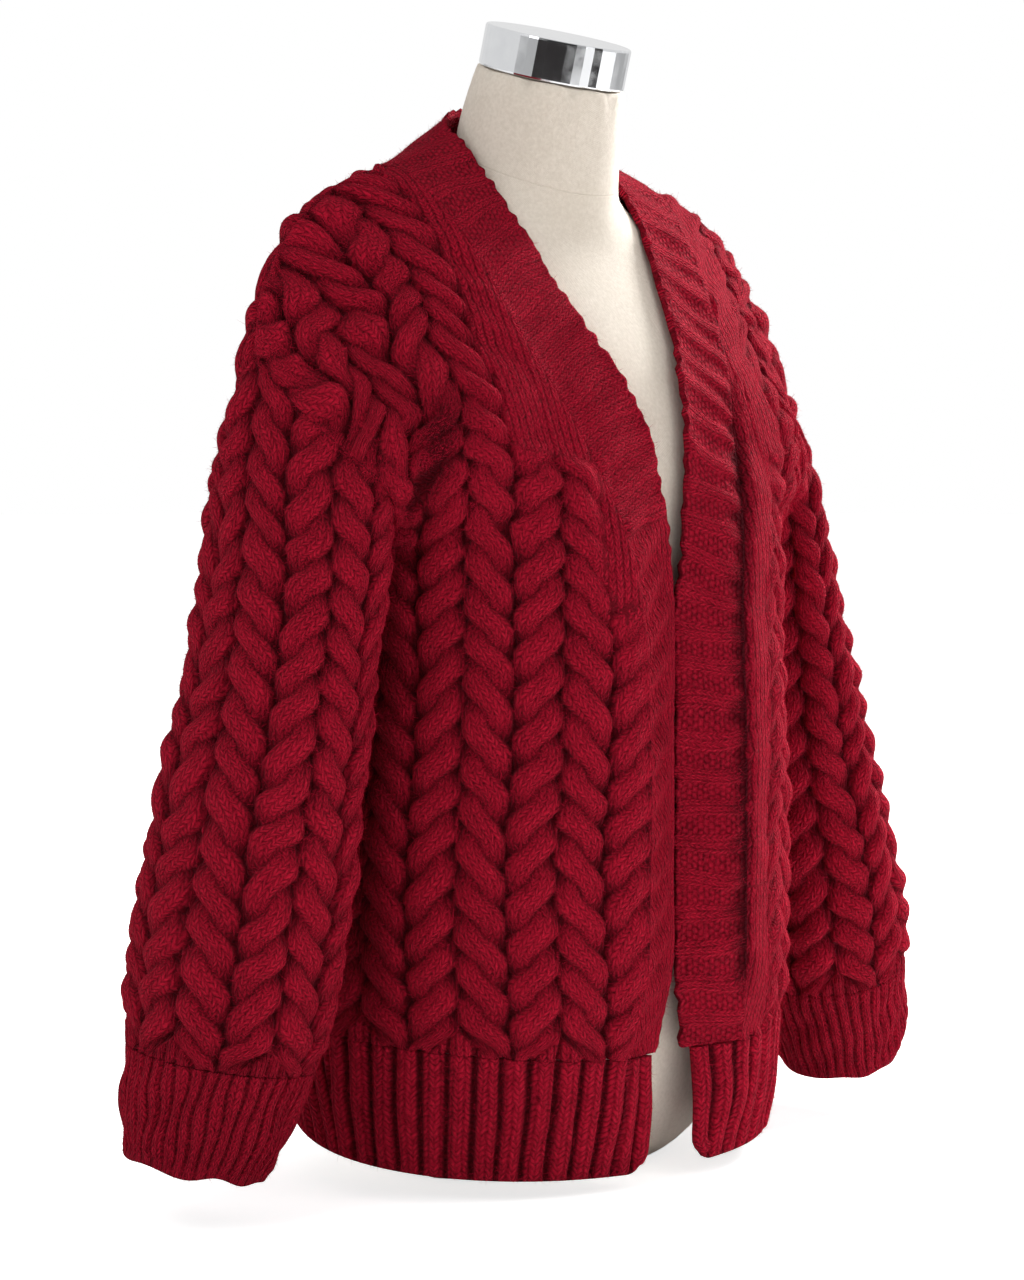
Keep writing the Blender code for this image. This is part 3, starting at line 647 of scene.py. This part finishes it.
# The neck's shaping: where the inner cables have ended, and where the last one fades out.
shaped = ease(run, 3.9, 4.15) * ease(height, FRONT_WALES_FROM - 0.018, FRONT_WALES_FROM + 0.014)
shaped = np.maximum(shaped, ease(run, 5.3, 6.4) * ease(height - 0.02 * (run - 5.8), 0.215, 0.315))
straight = np.where(height < 0.1, from_side, base[..., 0]) / ROPE_WIDTH
column, between = drawn_to_pairs(run, height, 0.017)
swell = 0.0012 * waver(from_side, height, 0.10, 1) + 0.0022 * slack * waver(from_side, height, 0.045, 2)
# The right sleeve's head hangs forward over a hollow, which runs up and in from the underarm; the hollow is
# also darkened with painted shade.
off_line = from_side - 0.010 - 0.72 * (height - 0.33)
hollow = 0.95 * np.exp(-((off_line / 0.015) ** 2))
hollow = hollow * ease(height, 0.310, 0.340) * (1 - ease(height, 0.385, 0.430))
# Painted shadow of the sleeve: on both fronts the strip beside the side seam below the arm is darkened, and
# sunk a little.
shaded_under_arm = 0.66 * (1 - ease(from_side, 0.026, 0.060)) * (1 - ease(height, 0.30, 0.37))
shaded_under_arm = shaded_under_arm * ease(height, 0.0, 0.06)
# The hem's ridges run on between the cables' ends.
BAND_WIDTH, FRONT_RIB = 0.035, 0.195  # the rib runs under the band too
rib_share = (from_band + BAND_WIDTH) / (from_band[:, -1:] + BAND_WIDTH)
ribs = ribbing(rib_share * FRONT_RIB / RIB_PITCH + 0.1, RIB_KNIT)
foot = RIB_DEEP + RIB_RISE * ribs
GROOVE_DEPTH, ARM_HOLLOW = 0.0050, 0.0040
PLAIN_RIGHT, PLAIN_LEFT = -0.0022, -0.0008  # how low the stockinette lies
# The left front keeps a strip of stockinette beside the band, and its shoulder hangs smoother.
for side, word in SIDES:
    right = side < 0
    plain = shaped if right else np.maximum(shaped, 1 - ease(from_band, 0.022, 0.044))
    twists = rope(column, crossing) * (1 if right else 1 - 0.35 * slack)
    relief = (GUTTER + twists) * (1 - plain) + (PLAIN_RIGHT if right else PLAIN_LEFT) * plain
    relief, grooves = run_into_rib(relief, between, foot, ribs)
    relief = relief + swell * (1 - between) + lift * (1 if right else 0.4) - ARM_HOLLOW * shaded_under_arm
    # The hollow on the right front and the groove by the left band's seam are sunk, and with the strip under
    # the arm they are darkened with painted shade.
    sunk = hollow if right else groove(at, from_band, height, 0.0055)
    relief = held(
        relief - GROOVE_DEPTH * sunk,
        (from_band, -0.0003 - GROOVE_DEPTH * sunk, 0.014 if right else 0.003), (from_side, -0.0002, 0.005),
        (height, foot, 0.004), (top_edge, -0.0010, 0.004),
    )
    marks = {"plain": np.maximum(plain, between), "purl": grooves, "straight": straight}
    marks["sunk"] = np.maximum(sunk, shaded_under_arm)
    front = knit_up(f"front_{word}", (base, square), relief, column, crossing, marks, side, 1, cabled, 36000)


# ----------------------------------------------
# The sleeves: tubes of the same wool with twelve cables round them, set into the dropped
# armholes and hanging empty, drawn in at the cuff.
LEFT_SWING, LEFT_TUCK, LEFT_LIFT = 0.010, 0.003, 0.010  # how the left sleeve's end swings out
ROPES_ROUND, RIBS_ROUND = 12, 40
CUFF_DEEP, CUFF_RISE = -0.0022, 0.0028
SLEEVE_ROUND, CUFF_ROUND = 0.0637, 0.055  # how large the tubes are for their patterns


def tube_face(rows, side):
    """A sleeve's or cuff's surface. The left ones swing out, more so towards the cuff."""

    def face(turn, at):
        point = ring(rows, turn, at)
        if side > 0:
            swing = at**3 if rows is SLEEVE else 1 + 0.4 * at
            tuck = np.sin(math.pi * at) if rows is SLEEVE else 0 * at
            inwards = np.cos(math.tau * turn)
            point[..., 0] += LEFT_SWING * swing - LEFT_TUCK * tuck * (1 - inwards)
            point[..., 2] -= LEFT_LIFT * swing * inwards
        return point

    return face


def round_tube(turn, radius):
    """Where a place round a tube lies, so that a pattern closes on itself there."""
    return radius * np.cos(math.tau * turn), radius * np.sin(math.tau * turn)


def cuff_ribs(turn, below, side):
    """The cuff's ridges, counted and their height. They start between the sleeve's cables."""
    x, y = round_tube(turn, CUFF_ROUND)
    ridge = turn * RIBS_ROUND + 0.16 * waver(x, below + y, 0.05, 3 + side)
    return ridge, ribbing(ridge, RIB_KNIT)


turn, at = np.meshgrid(np.linspace(0, 1, 241), np.linspace(0, 1, 201))
x, y = round_tube(turn, SLEEVE_ROUND)
for side, word in SIDES:
    face = tube_face(SLEEVE, side)
    base = face(turn, at)
    square = outward(face, turn, at, -1, ((-1, 2), (0, 1)))
    down = lengths(base, 0)
    to_cuff = down[-1:] - down
    shake = 0.03 * waver(x + 0.4 * y, down + y * 0.3, 0.085, 4 + side)
    column = turn * ROPES_ROUND + 1.22 + 0.22 * at + shake
    crossing = to_cuff / ROPE_PITCH + 0.12 * waver(x, down - y * 0.5, 0.10, 7 + side)
    column, between = drawn_to_pairs(column, to_cuff, 0.018)
    relief = GUTTER + rope(column, crossing, ROPES_ROUND) + 0.0016 * waver(x - y, down, 0.09, 8 + side)
    ribs = cuff_ribs(turn, -to_cuff, side)[1]
    foot = CUFF_DEEP + CUFF_RISE * ribs
    relief, grooves = run_into_rib(relief, between, foot, ribs)
    relief = held(relief, (down, -0.0002, 0.005), (to_cuff, foot, 0.004))
    marks = {"plain": between, "purl": grooves, "straight": 2 * ROPES_ROUND * np.abs(turn - 0.5)}
    made = f"sleeve_{word}", (base, square), relief, column, crossing, marks
    sleeve = knit_up(*made, side, -1, cabled, 34000, ROPES_ROUND)


# ----------------------------------------------
# The back: one wide piece with the same cables, sewn to the fronts along the shoulder ridges
# and down the sides.
BACK = table(
    "at centre lead arrive knot pass_by trail",
    (0, (0, 0.148, 0.119), (0.04, 0, 0), (-0.034, 0.018, 0.002), (0.1, 0.125, 0.116),
     (0.034, -0.018, -0.002), (0, 0.052, 0.006)),
    (0.2, (0, 0.151, 0.2), (0.04, 0, 0), (-0.034, 0.018, 0.002), (0.102, 0.128, 0.196),
     (0.034, -0.018, -0.002), (0, 0.056, 0.004)),
    (0.4, (0, 0.146, 0.295), (0.04, 0, 0), (-0.034, 0.018, 0.003), (0.102, 0.125, 0.29),
     (0.034, -0.018, -0.003), (0, 0.056, 0.006)),
    (0.53, (0, 0.138, 0.36), (0.04, 0, 0), (-0.034, 0.016, 0.003), (0.102, 0.12, 0.354),
     (0.034, -0.016, -0.003), (0, 0.054, 0.01)),
    (0.65, (0, 0.13, 0.422), (0.04, 0, 0), (-0.034, 0.012, 0.004), (0.104, 0.116, 0.414),
     (0.034, -0.012, -0.004), (-0.008, 0.052, 0.014)),
    (0.76, (0, 0.124, 0.485), (0.04, 0, 0), (-0.036, 0.01, 0.008), (0.108, 0.112, 0.474),
     (0.036, -0.01, -0.008), (-0.015, 0.032, 0.02)),
    (0.86, (0, 0.117, 0.546), (0.04, 0, 0), (-0.034, 0.012, 0.011), (0.112, 0.1, 0.534),
     (0.036, -0.01, -0.012), (-0.026, 0.02, 0.03)),
    (0.93, (0, 0.103, 0.602), (0.04, 0, 0), (-0.026, 0.02, 0.01), (0.116, 0.061, 0.601),
     (0.044, -0.006, -0.01), (-0.014, 0.008, 0.056)),
    (1, (0, 0.081, 0.641), (0.05, 0, 0), (-0.01, 0.034, 0.006), (0.116, 0.014, 0.633),
     (0.052, 0, -0.005), (-0.004, 0, 0.074)),
    (1.08, (0, 0.06, 0.676), (0.05, 0, 0), (-0.01, 0.034, 0), (0.106, -0.034, 0.597),
     (0.044, 0.006, -0.01), (-0.022, -0.012, 0.048)),
)
KNOT = 6 / 16  # where the neck's corner lies across the back


def back_section(rows, side, u, at):
    """A section of the back: a bow from the centre to the knot, and another to the side."""
    knot, arrive = read(rows, "knot", at), read(rows, "arrive", at)
    inner = bow(read(rows, "centre", at), read(rows, "lead", at), arrive, knot, np.minimum(u / KNOT, 1))
    u_outer = np.clip((u - KNOT) / (1 - KNOT), 0, 1)
    outer = bow(knot, read(rows, "pass_by", at), read(rows, "trail", at), side, u_outer)
    return np.where((u < KNOT)[..., None], inner, outer)


def back_face(u, at):
    """The back from its centre (u 0) to the side or the armhole (u 1)."""
    return back_section(BACK, side_edge(at, -1), u, at)


def both_sides(face, u, at):
    """The back made whole across the centre: its points, what is square to it there, and how far
    from the centre each lies, below 0 on the wearer's right."""
    points, square = face(u, at), outward(face, u, at, -1)
    square[:, 0, 0] = 0
    halves = (points, MIRROR), (square, MIRROR), (lengths(points, 1), -1)
    return [np.concatenate([(half * flip)[:, :0:-1], half], axis=1) for half, flip in halves]


u, at = np.meshgrid(grid_lines((0, KNOT, 1), (40, 64)), grid_lines((0, UNDERARM, 1), (140, 84)))
base, square, from_centre = both_sides(back_face, u, at)
to_side = np.abs(from_centre[:, -1:]) - np.abs(from_centre)
height = lengths(base, 0)
top_edge = height[-1:] - height
column = from_centre / ROPE_WIDTH + 0.5 + 0.045 * waver(from_centre, height, 0.08, 6)
crossing = height / ROPE_PITCH + 0.13 * waver(from_centre, height, 0.10, 9)
column, between = drawn_to_pairs(column, height, 0.017)
ribs = ribbing(from_centre / RIB_PITCH + 0.33, RIB_KNIT)
foot = RIB_DEEP + RIB_RISE * ribs
relief = GUTTER + rope(column, crossing) + 0.0018 * waver(from_centre, height, 0.11, 3)
relief, grooves = run_into_rib(relief, between, foot, ribs)
relief = held(relief, (to_side, -0.0003, 0.005), (height, foot, 0.004), (top_edge, -0.0010, 0.004))
marks = {"plain": between, "purl": grooves, "straight": from_centre / ROPE_WIDTH}
back = knit_up("back", (base, square), relief, column, crossing, marks, 1, -1, cabled, 20000)


# ----------------------------------------------
# The hem rib: three lengths of soft rib, knitted on below the fronts and the back, which draw
# the cables in at their ends.
RIB_WALL = 0.005
CORNER = 0.016  # how far the lower front corners are rounded
RIB_FRONT = table(
    "at seam lead trail side",
    (0, (0.023, -0.119, 0.0085), (0.098, 0, 0.003), (0, -0.06, -0.008), (0.17, 0.004, 0.0225)),
    (0.5, (0.021, -0.122, 0.046), (0.102, 0, 0.003), (0, -0.062, -0.008), (0.174, 0.004, 0.061)),
    (1, (0.019, -0.12, 0.082), (0.102, 0, 0.003), (0, -0.062, -0.007), (0.176, 0.004, 0.0985)),
)
RIB_BACK = table(
    "at centre lead arrive knot pass_by trail side",
    (0, (0, 0.141, 0.042), (0.04, 0, 0), (-0.032, 0.017, 0.002), (0.096, 0.119, 0.039),
     (0.032, -0.017, -0.002), (0, 0.05, 0.007), (0.17, 0.004, 0.0225)),
    (0.5, (0, 0.144, 0.08), (0.04, 0, 0), (-0.033, 0.017, 0.002), (0.098, 0.122, 0.077),
     (0.033, -0.017, -0.002), (0, 0.051, 0.007), (0.174, 0.004, 0.061)),
    (1, (0, 0.145, 0.117), (0.04, 0, 0), (-0.034, 0.018, 0.002), (0.099, 0.122, 0.114),
     (0.034, -0.018, -0.002), (0, 0.052, 0.006), (0.176, 0.004, 0.0985)),
)


def bearing(point):
    """Which way a point lies from the body's centre."""
    return np.arctan2(point[..., 1], point[..., 0])


def cast_on_edge(around):
    """The lower edge of the band and a front, at a bearing round the body."""
    band = FRONT[0].edge + (np.array(FRONT[0].seam) - FRONT[0].edge) * np.linspace(0, 1, 9)[:-1, None]
    edge = np.concatenate([band, front_face(np.linspace(0, 1, 65), np.zeros(65))])
    edge = np.concatenate([edge, 2 * edge[-1:] - edge[-2:-1]])
    return np.stack([np.interp(around, bearing(edge), edge[:, k]) for k in range(3)], -1)


def rib_front_face(u, at):
    """The rib hangs from the edge that it was knitted on to and draws in below it."""
    trail, side = read(RIB_FRONT, "trail", at), read(RIB_FRONT, "side", at)
    point = bow(read(RIB_FRONT, "seam", at), read(RIB_FRONT, "lead", at), trail, side, u)
    top = bow(*(np.array(getattr(RIB_FRONT[-1], part)) for part in ("seam", "lead", "trail", "side")), u)
    return point + (cast_on_edge(bearing(top)) - (0, 0, 0.0005) - top) * at[..., None]


def rib_back_face(u, at):
    """The same below the back."""
    point, ones = back_section(RIB_BACK, read(RIB_BACK, "side", at), u, at), np.ones_like(at)
    top = back_section(RIB_BACK, read(RIB_BACK, "side", ones), u, ones)
    return point + (back_face(u, 0 * at) - (0, 0, 0.0005) - top) * at[..., None]


def rib_layout(wales_each, knit_share, grooves):
    """Ridges of stockinette between grooves of purl, wales_each stitches from ridge to ridge. grooves is how
    dark the purl grooves are painted in shade.
    """

    def layout(add, across, along):
        place = add.maths("FRACT", across)
        purl = add.ramp(place, knit_share - 0.02, knit_share + 0.02)
        crease = add.ramp(abs(place / (knit_share / 2) - 1), 0.75, 1.0)
        return across * wales_each, along, purl, 0.3, crease * grooves, crease * 0.6

    return layout


def rib_relief(ridge, across, height, seed):
    """The hem rib's ridges, with soft swells that die away at its top and a thin lower edge."""
    swell = 0.0008 * waver(across, height, 0.05, seed) * ease(height[-1:] - height, 0, 0.03)
    return held(RIB_DEEP + RIB_RISE * ribbing(ridge, RIB_KNIT) + swell, (height, -0.0012, 0.004))


# The hem rib's purl grooves are darkened strongly with painted shade.
hem_wool = (RIB_WALL, wool_material("ribbed wool", rib_layout(2.3, RIB_KNIT, 0.78)))
u, at = np.meshgrid(np.linspace(0, 1, 129), np.linspace(0, 1, 53))
flat = rib_front_face(u, at)
from_band, height = lengths(flat, 1), lengths(flat, 0)
ridge = from_band / from_band[:, -1:] * FRONT_RIB / RIB_PITCH + 0.03 * waver(from_band, height, 0.08, 2) + 0.1
out, down = np.clip(1 - from_band / CORNER, 0, 1), np.clip(1 - height / CORNER, 0, 1)
drawn = 1 - np.maximum(out, down) / np.maximum(np.hypot(out, down), 1e-9)
round_u = u + CORNER * out * drawn / from_band[:, -1:]
round_at = at + CORNER * down * drawn / height[-1:]
face = rib_front_face(round_u, round_at), outward(rib_front_face, round_u, round_at, 1)
relief = rib_relief(ridge, from_band, height, 5)
for side, word in SIDES:
    rib = knit_up(f"hem_rib_{word}", face, relief, ridge, height / COURSE, {}, side, 1, hem_wool, 5000)

u, at = np.meshgrid(grid_lines((0, KNOT, 1), (48, 80)), np.linspace(0, 1, 53))
base, square, from_centre = both_sides(rib_back_face, u, at)
height = lengths(base, 0)
ridge = from_centre / RIB_PITCH + 0.03 * waver(from_centre, height, 0.08, 4) + 0.33
relief = rib_relief(ridge, from_centre, height, 7)
rib = knit_up("hem_rib_back", (base, square), relief, ridge, height / COURSE, {}, 1, -1, hem_wool, 5000)


# ----------------------------------------------
# The cuffs: tubes of the same rib at the sleeve ends, tighter and wavier than the hem's.
CUFF = table(
    "at centre top front back skew sag lift dip",
    (0, (0.27, -0.005, 0.0974), (0.0519, 0, 0.005), 0.0609, 0.0609, 0, 0, 0, 0.006),
    (0.5, (0.28, -0.004, 0.064), (0.047, 0, 0.004), 0.054, 0.054, 0, 0, 0, 0.007),
    (1, (0.288, -0.003, 0.0365), (0.04, 0, 0.003), 0.045, 0.045, 0, 0, 0, 0.007),
)
# The cuffs' purl grooves take lighter painted shade than the hem's.
light_shade_rib_wool = (RIB_WALL, wool_material("ribbed wool with lighter painted shade", rib_layout(2.3, RIB_KNIT, 0.45)))
turn, at = np.meshgrid(np.linspace(0, 1, 321), np.linspace(0, 1, 37))
x, y = round_tube(turn, CUFF_ROUND)
for side, word in SIDES:
    face = tube_face(CUFF, side)
    base = face(turn, at)
    square = outward(face, turn, at, -1, ((-1, 2), (0, 1)))
    down = lengths(base, 0)
    rolled = 1 - ease(down[-1:] - down, 0.001, 0.010)
    base[..., 2] += 0.0030 * at * at * waver(x, y, 0.060, 9)
    ridge, ribs = cuff_ribs(turn, down, side)
    crumple = 0.0016 * waver(x - down, y, 0.045, 6 + side) * ease(down, 0, 0.02)
    relief = (CUFF_DEEP + CUFF_RISE * ribs + crumple) * (1 - rolled) + 0.0004 * rolled
    made = f"cuff_{word}", (base, square), relief, ridge, down / COURSE, {}
    cuff = knit_up(*made, side, -1, light_shade_rib_wool, 5000, RIBS_ROUND)


# ----------------------------------------------
# The front band: one long strip, knitted sideways from the edges of the fronts and the neck,
# so its ridges run across it from the seam to the free edge.
NECK = table(
    "at edge",
    (0, (0.0585, 0.01, 0.654)),
    (0.35, (0.049, 0.034, 0.668)),
    (0.7, (0.026, 0.053, 0.677)),
    (1, (0, 0.059, 0.679)),
)
WELT_PITCH = 0.022


def band_face(u, at):
    """The front band from its free edge (u 0) to its seam (u 1); past at 1 it rounds the neck."""
    front, neck, rising = np.minimum(at, 1), np.clip(at - 1, 0, 1), (at <= 1)[..., None]
    edge = np.where(rising, read(FRONT, "edge", front), read(NECK, "edge", neck))
    neckline = back_face(KNOT * (1 - neck), np.ones_like(neck))
    seam = np.where(rising, read(FRONT, "seam", front), neckline)
    return edge + (seam - edge) * np.asarray(u, float)[..., None]


def welt_layout(add, across, along):
    """Knit and purl rows by turns across the band, and upright stockinette where plain is 1. The purl rows
    and the groove by the left band's seam are darkened with painted shade.
    """
    wales, courses, purl, parted, shade, crease = rib_layout(5, 0.50, 0.10)(add, across, along)
    upright = add.ramp(add.marked("plain"), 0.49, 0.51)
    wales = add.blend(upright, wales, along * (COURSE / WALE))
    courses = add.blend(upright, courses, across * (WELT_PITCH / COURSE))
    shade = add.maths("MAXIMUM", shade * (1 - upright), add.marked("sunk") * 0.9)
    return wales, courses, purl * add.marked("purled"), add.blend(upright, parted, 0.65), shade, 0.0


def round_neck(half, flip):
    """A grid of the right half of the band and its mirror, as one strip up, round and down."""
    return np.concatenate([half * flip, half[-2::-1]])


u, at = np.meshgrid(np.linspace(0, 1, 33), grid_lines((0, UNDERARM, 1, 2), (240, 144, 60)))
half_base, half_square = band_face(u, at), outward(band_face, u, at, 1, ((0, 1), (0, 2)))
half_square[-1, :, 0] = 0
shut = ease(at, 0.05, 0.12) * (1 - ease(at, 0.50, 0.60))
half_base[..., 0] -= 0.0023 * shut * (1 - u)
base, square = round_neck(half_base, MIRROR), round_neck(half_square, MIRROR)
up, shut = round_neck(at, 1), round_neck(shut, 1)
left = np.arange(len(up))[:, None] >= len(at)
from_edge = lengths(base, 1)
middle = lengths(base, 0)[:, 16:17] + 0 * from_edge
scallop = waver(0, middle, 0.014, 4) * (1 - ease(from_edge, 0, 0.012))
across_band = (base[:, -1:] - base[:, :1]) / from_edge[:, -1:, None]
base = base + ((0.0016 - 0.0009 * shut) * scallop)[..., None] * across_band
to_seam = from_edge[:, -1:] - from_edge
middle = lengths(base, 0)[:, 16:17] + 0 * from_edge
ends = np.minimum(middle, middle[-1:] - middle)
ridge = middle / WELT_PITCH + 0.10 * waver(from_edge, middle, 0.07, 5)
plain = np.where(left, 0, 1 - ease(up, 0.55, 0.68))
smooth = np.where(left, 0.35 * ease(up, 0.8, 1.0), np.maximum(plain, 0.80 * ease(up, 0.60, 0.75)))
relief = (0.0012 + 0.0014 * ease(from_edge, 0.01, 0.04)) * ribbing(ridge, 0.55) * (1 - smooth) - 0.0012
relief = relief + 0.0009 * waver(from_edge, middle, 0.06, 8)
swaying = np.sin(math.tau * middle / ROPE_PITCH + 120 * from_edge) * ease(from_edge, 0.002, 0.022)
# The groove by the left band's seam is sunk, and darkened with painted shade.
sunk = np.where(left, groove(up, to_seam, middle, 0.0100), 0)
relief = held(
    relief + 0.0021 * plain * swaying - GROOVE_DEPTH * sunk, (from_edge, -0.0008, 0.005),
    (to_seam, -0.0003 - GROOVE_DEPTH * sunk, 0.006), (ends, -0.0012, 0.004),
)
marks = {"plain": plain, "sunk": sunk, "purled": np.where(left, 1, ease(up, 0.86, 0.90))}
band_wool = (RIB_WALL, wool_material("welted wool", welt_layout))
band = knit_up("front_band", (base, square), relief, ridge, from_edge / COURSE, marks, 1, 1, band_wool, 22000)


# ----------------------------------------------
# The dress form: a padded torso in unbleached linen, smooth and limbless, its cover seamed at
# the foot of the neck.
NECK_SEAM, NECK_SEAM_SLOPE = 0.6376, 0.40
LINEN_LIGHT, LINEN_DARK = (0.88, 0.79, 0.68, 1), (0.76, 0.67, 0.56, 1)
THREADS_ROUND, THREAD_PITCH = 300, 0.0011
linen, add, looks = finish("linen", {"Roughness": 0.82, "Sheen Weight": 0.15})
x, y, z = add.parts(add.place())
slub, soft = add.noise(420, 3), add.noise(14)
seam = add.ramp(abs(z - (y * NECK_SEAM_SLOPE + NECK_SEAM)), 0.0002, 0.0008, 1, 0)
tone = slub * 0.6 + soft * 0.4 - seam * 0.25
add.join(add.tint(add.ramp(tone, 0.30, 0.70), LINEN_DARK, LINEN_LIGHT), looks["Base Color"])
warp = add.maths("SINE", add.maths("ARCTAN2", y, x) * THREADS_ROUND)
weft = add.maths("SINE", z * (math.tau / THREAD_PITCH))
add.join(add.bump(warp * weft + slub - seam * 3, 0.35, 0.0003), looks["Normal"])

form = put("linen_dress_form", nodes["dress_form"].data.copy())
form.select_set(True)
bpy.context.view_layer.objects.active = form
bpy.ops.object.mode_set(mode="EDIT")
bpy.ops.mesh.select_all(action="SELECT")
bpy.ops.mesh.remove_doubles(threshold=0.00001)
bpy.ops.mesh.tris_convert_to_quads(face_threshold=math.radians(60), shape_threshold=math.radians(60))
bpy.ops.object.mode_set(mode="OBJECT")
rounding = form.modifiers.new("rounding", "SUBSURF")
rounding.levels = rounding.render_levels = 1
bpy.ops.object.modifier_apply(modifier="rounding")
form.data.materials.clear()
form.data.materials.append(linen)
form.data.shade_smooth()
form.select_set(False)
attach(form, "root")
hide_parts("dress_form")


# ----------------------------------------------
# The neck cap: a short spun drum of polished chrome that closes the form's neck.
CHROME_DARK, CHROME_LIGHT = (0.74, 0.75, 0.77, 1), (0.86, 0.87, 0.88, 1)
chrome, add, looks = finish("chrome", {"Metallic": 1.0})
smear = add.noise(90)
add.join(add.tint(smear, CHROME_DARK, CHROME_LIGHT), looks["Base Color"])
add.join(add.ramp(smear, 0.3, 0.8, 0.05, 0.16), looks["Roughness"])
for slot in nodes["neck_cap"].material_slots:
    slot.material = chrome


# ----------------------------------------------
# The studio: a pale floor, soft lamps and the camera, at chest height before the right shoulder.
FLOOR_LOOKS = {"Base Color": (0.9, 0.9, 0.9, 1), "Roughness": 0.9, "Emission Color": (1, 1, 1, 1)}
pale, add, looks = finish("pale floor", FLOOR_LOOKS)
camera_ray = add.add("ShaderNodeLightPath", {}, "Is Camera Ray")
add.join(camera_ray * 0.72, looks["Emission Strength"])
bpy.ops.mesh.primitive_plane_add(size=60, location=(0, 0, -0.0005))
floor = bpy.context.object
floor.name = "floor"
floor.data.materials.append(pale)

# A dark screen stands round the camera's side of the set, for the chrome alone to mirror.
SCREEN_RADIUS, SCREEN_HEIGHT, SCREEN_POSTS = 2.0, 1.5, 24
dark = finish("dark screen", {"Base Color": (0.012, 0.010, 0.010, 1), "Roughness": 1})[0]
for word, first, last in (("left", -171, -97), ("right", -74, -56)):
    arc = np.radians(np.linspace(first, last, SCREEN_POSTS))
    posts = [(SCREEN_RADIUS * math.cos(a), SCREEN_RADIUS * math.sin(a)) for a in arc]
    mesh = bpy.data.meshes.new(f"dark_screen_{word}")
    sides = [(k, k + 1, k + 1 + SCREEN_POSTS, k + SCREEN_POSTS) for k in range(SCREEN_POSTS - 1)]
    mesh.from_pydata([(*place, z) for z in (0.0, SCREEN_HEIGHT) for place in posts], [], sides)
    screen = put(f"dark_screen_{word}", mesh)
    mesh.materials.append(dark)
    screen.visible_camera = screen.visible_shadow = screen.visible_diffuse = False

world = bpy.data.worlds.new("studio")
bpy.context.scene.world = world
world.use_nodes = True
add = Nodes(world.node_tree)
sky = world.node_tree.nodes["Background"].inputs
x, y, z = add.parts(add.place("Generated"))
compass = add.maths("DEGREES", add.maths("ARCTAN2", y, x))
window = add.ramp(compass, -96, -94) * add.ramp(compass, -76, -72, 1, 0)
unlit = add.ramp(compass, -171, -168) * add.ramp(compass, -57, -54, 1, 0) * (1 - window * 0.5)
unlit = unlit * add.ramp(z, 0.55, 0.62, 1, 0)
mirrored = add.add("ShaderNodeLightPath", {}, "Is Glossy Ray")
soft = add.blend(mirrored, 0.50, 0.80 - unlit * 0.76)
add.join(add.blend(add.add("ShaderNodeLightPath", {}, "Is Camera Ray"), soft, 1.0), sky["Strength"])
sky["Color"].default_value = (1, 1, 1, 1)

LAMP_SIZE, LAMP_AIM = 1.1, Vector((0, 0, 0.35))
for name, place, power in (
    ("key light", (2.6, 0.2, 2.0), 196),
    ("front light", (0.9, -2.3, 2.2), 9),
    ("side light", (-2.4, -0.6, 2.0), 14),
):
    light = bpy.data.lights.new(name, "AREA")
    light.shape = "RECTANGLE"
    light.size = light.size_y = LAMP_SIZE
    light.energy = power
    lamp = put(name, light)
    lamp.location = place
    lamp.rotation_euler = (LAMP_AIM - Vector(place)).to_track_quat("-Z", "Y").to_euler()

camera = put("camera", bpy.data.cameras.new("camera"))
camera.data.sensor_fit = "VERTICAL"
camera.data.sensor_height = 24
camera.data.lens = 63.96
camera.data.clip_end = 100
camera.location = (-1.5556, -1.5556, 0.44)
ahead, beside = Vector((1, 1, 0)).normalized(), Vector((1, -1, 0)).normalized()
sight = ahead - 0.00733 * beside - 0.04779 * Vector((0, 0, 1))
camera.rotation_euler = sight.to_track_quat("-Z", "Y").to_euler()
bpy.context.scene.camera = camera
bpy.context.scene.view_settings.view_transform = "Standard"
